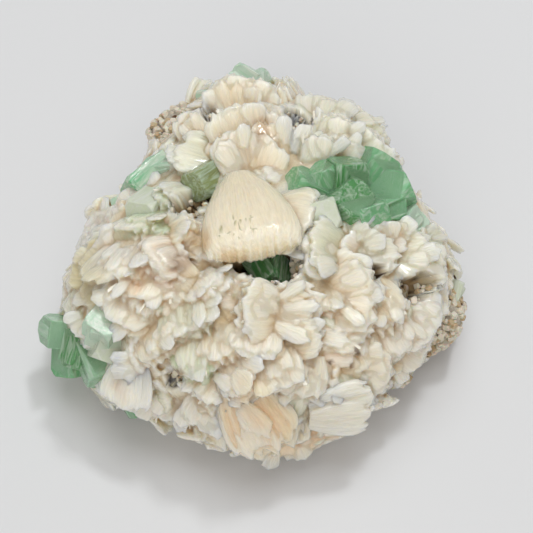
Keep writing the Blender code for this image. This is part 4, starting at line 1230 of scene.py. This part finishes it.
def add_spar(cloud, rng, place, spar, tint):
    """A crystal and the smaller ones grown parallel with it, which step its faces."""
    basis = np.array([tuple(place.side), tuple(place.up), tuple(place.axis)])
    grown = [(1.0, 1.0, 0.0, 0.0, 0.0)]
    pale = spar.tint in PALE_TINTS
    twist, sway = PALE_SWAY if pale else GREEN_SWAY
    for _ in range(PALE_BESIDE if pale else GREEN_BESIDE):
        angle = rng.uniform(0, 2 * math.pi)
        off = spar.width * rng.uniform(0.2, 0.3)
        share = rng.uniform(0.45, 0.6)
        along = -spar.length * rng.uniform(0.03, 0.14)
        grown.append((share, 0.85, off * math.cos(angle), off * math.sin(angle), along))
    for share, long_share, x, y, z in grown:
        wide = spar.width * share * SPAR_SWELLS
        block, faces = spar_block(wide, spar.length * long_share, spar.cut * CUT_SHOWN, SPAR_BEVEL)
        tilt = Matrix.Rotation(math.radians(rng.uniform(-twist, twist)), 3, "Z")
        if share < 1.0:
            tilt = Matrix.Rotation(math.radians(rng.uniform(-sway, sway)), 3, "X") @ tilt
        local = block @ np.array(tilt).T + np.array((x, y, z + spar.length * (1 - long_share) / 2))
        points = np.array(tuple(place.middle)) + local @ basis
        along = (local[:, 2] / spar.length + 0.5)[:, None]
        ended = np.clip(along * 1.3 - 0.3, 0.0, 1.0)
        colours = blend(tint, SPAR_TIPS.get(spar.tint, tint), ended)
        colours = colours * (0.94 + 0.1 * along) * rng.uniform(0.94, 1.04)
        cloud.add(points, faces, colours, local * np.array((1.0, 1.0, SPAR_GRAIN_STRETCH)) + grain_start(rng))


GRAIN_SHAPE = spar_block(1.0, 1.15, 0.35, 0.06)


def add_grain(cloud, rng, point, normal, size, tint):
    """A tiny blocky crystal of the druse."""
    turn = Matrix.Rotation(rng.uniform(0, math.pi), 3, normal)
    side = turn @ normal.orthogonal().normalized()
    lean = (normal + side * rng.uniform(-0.7, 0.7)).normalized()
    side = (side - lean * side.dot(lean)).normalized()
    basis = np.array([tuple(side), tuple(lean.cross(side)), tuple(lean)])
    block, faces = GRAIN_SHAPE
    points = np.array(tuple(point)) + (block * size) @ basis
    colours = np.tile(tint * rng.uniform(0.85, 1.0), (len(points), 1))
    cloud.add(points, faces, colours, points.copy())


def druse_tint(rng):
    """Mostly chalky, some tan, a few brown grains."""
    pick = rng.random()
    if pick < 0.74:
        return CHALK
    return TAN if pick < 0.96 else BROWN


def add_druse(cloud, rng, druse):
    """A hollow's floor of many small crystals, in the room of the CAD cushion."""
    point = seen_at(druse.px, druse.py)
    normal = outward(point)
    tangent, _ = along_surface(point, 0.0)
    side = normal.cross(tangent)
    floor = point - normal * DRUSE_SUNK
    for i in range(DRUSE_GRAINS):
        angle = i * GOLDEN_ANGLE
        share = math.sqrt((i + 0.5) / DRUSE_GRAINS)
        out = druse.width * 0.5 * share
        swell = druse.thick * (1.15 - 0.9 * share ** 2) + 1.2 * noise.noise(Vector((out, angle, 1.0)))
        spot = floor + tangent * (math.cos(angle) * out) + side * (math.sin(angle) * out) + normal * swell
        add_grain(cloud, rng, spot, normal, rng.uniform(0.9, 1.9), druse_tint(rng))


def add_hollow_crumbs(cloud, rng, walls):
    """Small grains on the walls and floors of the hollows."""
    for point, normal in walls:
        keep = rng.random() < HOLLOW_CRUMBS
        size = rng.uniform(0.8, 1.7)
        tint = druse_tint(rng)
        if keep and fractal(point, 0.25, 2) > -0.1:
            add_grain(cloud, rng, point, normal, size, tint)


def vesicles():
    """Middle and radius of the gas bubbles that show in the knobs."""
    return [(seen_at(px, py, VESICLE_LIFT), radius) for px, py, radius in VESICLES]


def add_rock(cloud):
    """The basalt core, flat underneath, with its gas bubbles, and its knobs."""
    bubbles = []
    for bubble in BUBBLES:
        azimuth = math.radians(bubble.direction)
        out = waist_radius(bubble.direction) * bubble.share
        centre = Vector((math.cos(azimuth) * out, math.sin(azimuth) * out, bubble.height))
        bubbles.append((centre, bubble.radius))
    bubbles += vesicles()
    around, up = ROCK_FINE_STEPS
    points, faces = ball_arrays(bmesh.ops.create_uvsphere, u_segments=around, v_segments=up)
    moved = []
    for unit in points:
        azimuth, latitude = bearings(unit)
        point = point_of_form(azimuth, latitude, share=ROCK_SHARE, top=ROCK_HEIGHT, closes=ROCK_CLOSES)
        moved.append((point, outward(point), ROCK_LUMP * noise.noise(unit * 3.1)))
    shapes = [(moved, faces)]
    points, faces = ball_arrays(bmesh.ops.create_icosphere, subdivisions=KNOB_DETAIL)
    for centre, radius in KNOBS_AT:
        moved = []
        for unit in points:
            uneven = radius * LUMP_UNEVEN * noise.noise(unit * 1.7 + centre * 0.37)
            moved.append((centre + unit * radius, unit, uneven))
        shapes.append((moved, faces))
    for moved, faces in shapes:
        bare = 0.1 if moved is shapes[0][0] else 0.75
        places = []
        colours = []
        for point, normal, lump in moved:
            rough = ROCK_ROUGH * fractal(point, 0.22, 5)
            place = point + normal * (lump + rough)
            for centre, radius in bubbles:
                far = (place - centre).length
                if far < radius * 1.3:
                    place -= normal * (radius * 1.1 * (1 - (far / (radius * 1.3)) ** 2))
            mottle = bounded(0.5 + 1.1 * fractal(point, 0.3, 4), 1.0)
            crusted = bounded(bare + 1.3 * fractal(point + Vector((40, 0, 0)), 0.12, 3), 1.0)
            colour = blend(DARK * 0.9, BROWN * 0.95, mottle)
            colour = blend(colour, (CHALK if bare > 0.5 else TAN) * 0.8, crusted)
            if any((place - centre).length < radius * VESICLE_RIM for centre, radius in bubbles):
                colour = linear(*VESICLE_TINT)
            if place.z < 0.0:
                place.z = 0.0
            places.append(tuple(place))
            colours.append(colour)
        places = np.array(places)
        cloud.add(places, faces, np.array(colours), places.copy())


def add_knob_grains(cloud, rng):
    """The crumbs of fine crystals that coat the basalt where it comes through the crust."""
    holes = vesicles()
    for centre, radius in KNOBS_AT:
        for i in range(KNOB_GRAINS):
            z = 1.0 - 2.0 * (i + 0.5) / KNOB_GRAINS
            flat = math.sqrt(1.0 - z * z)
            unit = Vector((math.cos(i * GOLDEN_ANGLE) * flat, math.sin(i * GOLDEN_ANGLE) * flat, z))
            unit = (unit + Vector([rng.uniform(-KNOB_JITTER, KNOB_JITTER) for _ in range(3)])).normalized()
            size = rng.uniform(0.6, 1.9)
            tint = druse_tint(rng)
            uneven = radius * (1 + LUMP_UNEVEN * noise.noise(unit * 1.7 + centre * 0.37))
            point = centre + unit * uneven
            bare = noise.noise(point * 0.3) > 0.34
            if bare or point.z < GRAIN_LOWEST or depth_in_form(point) < 0.97:
                continue
            if any((point - spot).length < hole * VESICLE_RIM for spot, hole in holes):
                continue
            add_grain(cloud, rng, point + unit * 0.15, unit, size, tint)


def ranged(surface, value, source, target):
    """A value's range mapped to another one."""
    node = surface.node_tree.nodes.new("ShaderNodeMapRange")
    node.inputs["From Min"].default_value, node.inputs["From Max"].default_value = source
    node.inputs["To Min"].default_value, node.inputs["To Max"].default_value = target
    surface.node_tree.links.new(value, node.inputs["Value"])
    return node.outputs["Result"]


def surface_material(name, roughness, rough_spread, bump, grain_scale, mottle, **sockets):
    """A finish whose colour is the tint attribute, mottled and streaked along each crystal's grain."""
    made = bpy.data.materials.new(name)
    made.use_nodes = True
    nodes = made.node_tree.nodes
    links = made.node_tree.links
    shader = nodes["Principled BSDF"]
    for socket, value in sockets.items():
        shader.inputs[socket.replace("_", " ")].default_value = value
    tint = nodes.new("ShaderNodeAttribute")
    tint.attribute_name = "tint"
    grain = nodes.new("ShaderNodeAttribute")
    grain.attribute_name = "grain"
    streaks = nodes.new("ShaderNodeTexNoise")
    streaks.inputs["Scale"].default_value = grain_scale
    streaks.inputs["Detail"].default_value = 4.0
    streaks.inputs["Roughness"].default_value = 0.6
    links.new(grain.outputs["Vector"], streaks.inputs["Vector"])
    spread = ranged(made, streaks.outputs["Fac"], (0.3, 0.7), (1.0 - mottle, 1.0))
    mottled = nodes.new("ShaderNodeVectorMath")
    mottled.operation = "SCALE"
    links.new(tint.outputs["Color"], mottled.inputs[0])
    links.new(spread, mottled.inputs["Scale"])
    links.new(mottled.outputs["Vector"], shader.inputs["Base Color"])
    roughs = (roughness - rough_spread, roughness + rough_spread)
    rough = ranged(made, streaks.outputs["Fac"], (0.3, 0.7), roughs)
    links.new(rough, shader.inputs["Roughness"])
    relief = nodes.new("ShaderNodeBump")
    relief.inputs["Strength"].default_value = bump
    relief.inputs["Distance"].default_value = 0.0005
    links.new(streaks.outputs["Fac"], relief.inputs["Height"])
    links.new(relief.outputs["Normal"], shader.inputs["Normal"])
    return made


def veiled(surface, scale, colour, strength):
    """Cloud a crystal with patches of a pale colour, as flaws and healed cracks do."""
    nodes = surface.node_tree.nodes
    links = surface.node_tree.links
    grain = nodes.new("ShaderNodeAttribute")
    grain.attribute_name = "grain"
    clouds = nodes.new("ShaderNodeTexNoise")
    clouds.inputs["Scale"].default_value = scale
    clouds.inputs["Detail"].default_value = 5.0
    clouds.inputs["Roughness"].default_value = 0.65
    clouds.inputs["Distortion"].default_value = 1.2
    links.new(grain.outputs["Vector"], clouds.inputs["Vector"])
    reach = ranged(surface, clouds.outputs["Fac"], (0.44, 0.6), (0.0, strength))
    shader = nodes["Principled BSDF"]
    plain = shader.inputs["Base Color"].links[0].from_socket
    mixed = nodes.new("ShaderNodeMix")
    mixed.data_type = "RGBA"
    links.new(reach, mixed.inputs["Factor"])
    links.new(plain, mixed.inputs["A"])
    mixed.inputs["B"].default_value = (*colour, 1.0)
    links.new(mixed.outputs["Result"], shader.inputs["Base Color"])


def absorbing(surface, colour, density):
    """Give a see-through crystal its depth of colour."""
    volume = surface.node_tree.nodes.new("ShaderNodeVolumeAbsorption")
    volume.inputs["Color"].default_value = (*colour, 1.0)
    volume.inputs["Density"].default_value = density
    output = surface.node_tree.nodes["Material Output"]
    surface.node_tree.links.new(volume.outputs["Volume"], output.inputs["Volume"])


def dress(piece, slot, *nodes):
    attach(piece, "root")
    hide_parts(*nodes)


# The finishes
STILBITE_SKIN = {
    "Subsurface_Weight": 0.95, "Subsurface_Scale": 0.0045, "Subsurface_Radius": (1.0, 0.85, 0.62),
    "Specular_IOR_Level": 0.5, "Coat_Weight": 0.5, "Coat_Roughness": 0.07,
}
stilbite_pearly = surface_material("stilbite_pearly", 0.16, 0.08, 1.0, 1.5, 0.13, **STILBITE_SKIN)
stilbite_clear = surface_material("stilbite_clear", 0.12, 0.06, 0.2, 2.4, 0.04, Transmission_Weight=0.1,
                                  IOR=1.5, Coat_Weight=0.6, Coat_Roughness=0.05)
apophyllite_green = surface_material("apophyllite_green", 0.14, 0.08, 0.6, 0.9, 0.16,
                                     Transmission_Weight=0.5, IOR=1.535)
veiled(apophyllite_green, 0.55, linear(222, 246, 226), 0.75)
absorbing(apophyllite_green, (0.35, 0.85, 0.52), 21.0)
apophyllite_pale = surface_material("apophyllite_pale", 0.12, 0.06, 0.4, 0.9, 0.06,
                                    Transmission_Weight=0.3, IOR=1.535)
veiled(apophyllite_pale, 0.55, linear(244, 250, 240), 0.8)
absorbing(apophyllite_pale, (0.6, 0.92, 0.7), 12.0)
basalt_rough = surface_material("basalt_rough", 0.8, 0.1, 1.0, 1.5, 0.45)
druse_sugary = surface_material("druse_sugary", 0.5, 0.1, 0.5, 2.5, 0.1, Subsurface_Weight=0.25,
                                Subsurface_Scale=0.001)

# Where everything is
rng = random.Random(SEED)
frames = hollow_frames()
KNOBS_AT = knob_centres()
spars_placed = spar_sets()
SPARS_AT = [pair for placed in spars_placed.values() for pair in placed]

# The stilbite: the crust's skin, the fans' finer skin, and the thin clear blades that stand out of them
crust = Cloud()
shells = Cloud()
blades = Cloud()
walls = []
add_ground(crust, frames)
occupied = []
for sheaf in SHEAVES:
    place = place_seen(sheaf, sheaf.thick, SHEAF_BURIED)
    occupied.append(place.middle)
    size = (sheaf.length, sheaf.width * SHEAF_SWELLS, sheaf.thick)
    add_sheaf(crust, rng, place, size, TINTS[sheaf.tint])
    add_glints(blades, rng, frames, place, size, TINTS[sheaf.tint], 4)
for i, fan in enumerate(FANS):
    for place, length in fan_blades(fan):
        occupied.append(place.middle)
    place, size = fan_place(fan)
    if i == 0:
        outline = {"around": BIG_FAN_STEPS, "widths": BIG_FAN_WIDTHS}
        add_leaf(shells, rng, place, size, TINTS[fan.tint], **outline, **BIG_FAN_FORM)
    else:
        add_sheaf(shells, rng, place, size, TINTS[fan.tint], 4, 0)
for placed in spars_placed.values():
    occupied.extend(place.middle for place, _ in placed)
occupied.extend(seen_at(hollow.px, hollow.py) for hollow in HOLLOWS)
for place, length, width, thick in fill_sheaves(occupied):
    tint = TINTS[FILLER_TINTS[rng.randrange(len(FILLER_TINTS))]]
    size = (length, width * SHEAF_SWELLS, thick)
    add_sheaf(crust, rng, place, size, tint, 4)
    add_glints(blades, rng, frames, place, size, tint, 2)
for petals in PETALS:
    add_petals(crust, blades, rng, frames, petals, FILLER_TINTS)
dress(write_skin("stilbite_crust", crust, CRUST_VOXEL, CRUST_TRIANGLES, walls), "stilbite", "stilbite")
dress(write_skin("stilbite_shells", shells, SHELL_VOXEL, SHELL_TRIANGLES), "stilbite", "stilbite")
dress(blades.write("stilbite_blades", stilbite_clear), "stilbite", "stilbite")

# The apophyllite, its green and its pale crystals in a finish each
kinds = (("green", apophyllite_green, GREEN_TINTS), ("pale", apophyllite_pale, PALE_TINTS))
for node, placed in spars_placed.items():
    for kind, surface, shades in kinds:
        cluster = Cloud()
        for place, spar in placed:
            if spar.tint in shades:
                add_spar(cluster, rng, place, spar, GREENS[spar.tint])
        if cluster.points:
            piece = write_piece(node + "_" + kind, surface, *joined(cluster), False)
            dress(piece, "apophyllite", node)

# The basalt, and the small grains on its knobs, in the hollows and in the two druses
rock = Cloud()
add_rock(rock)
dress(rock.write("basalt", basalt_rough, smooth=True), "matrix", "matrix")
crumbs = Cloud()
add_knob_grains(crumbs, rng)
dress(crumbs.write("knob_crumbs", druse_sugary), "druse", "matrix")
crumbs = Cloud()
add_hollow_crumbs(crumbs, rng, walls)
dress(crumbs.write("hollow_crumbs", druse_sugary), "druse", "stilbite")
for node, druse in DRUSE.items():
    cushion = Cloud()
    add_druse(cushion, rng, druse)
    dress(cushion.write(node + "_grains", druse_sugary), "druse", node)

# The stage, the lights and the camera
floor_mesh = bmesh.new()
bmesh.ops.create_grid(floor_mesh, x_segments=1, y_segments=1, size=FLOOR_SIZE)
floor_data = bpy.data.meshes.new("floor")
floor_mesh.to_mesh(floor_data)
floor_mesh.free()
floor = linked("floor", floor_data)
floor_paint = bpy.data.materials.new("floor_paint")
floor_paint.use_nodes = True
floor_shader = floor_paint.node_tree.nodes["Principled BSDF"]
floor_shader.inputs["Base Color"].default_value = (*FLOOR_COLOUR, 1.0)
floor_shader.inputs["Roughness"].default_value = FLOOR_ROUGHNESS
floor_data.materials.append(floor_paint)

world = bpy.data.worlds.new("studio")
world.use_nodes = True
sky = world.node_tree.nodes["Background"]
sky.inputs["Color"].default_value = (*SKY_COLOUR, 1.0)
sky.inputs["Strength"].default_value = SKY_STRENGTH
bpy.context.scene.world = world
for name, spot, size, power, colour in LIGHTS:
    data = bpy.data.lights.new(name, "AREA")
    data.size = size
    data.energy = power
    data.color = colour
    light = linked(name, data)
    light.location = spot
    light.rotation_euler = (VIEW_TARGET * MM - Vector(spot)).to_track_quat("-Z", "Y").to_euler()

camera_data = bpy.data.cameras.new("camera")
camera_data.sensor_width = SENSOR_WIDTH
camera_data.lens = SENSOR_WIDTH * LENS_OVER_SENSOR
camera_data.clip_start = 0.01
camera = linked("camera", camera_data)
camera.location = VIEW_EYE * MM
camera.rotation_euler = VIEW_AHEAD.to_track_quat("-Z", "Y").to_euler()
bpy.context.scene.camera = camera
bpy.context.scene.view_settings.view_transform = "Standard"
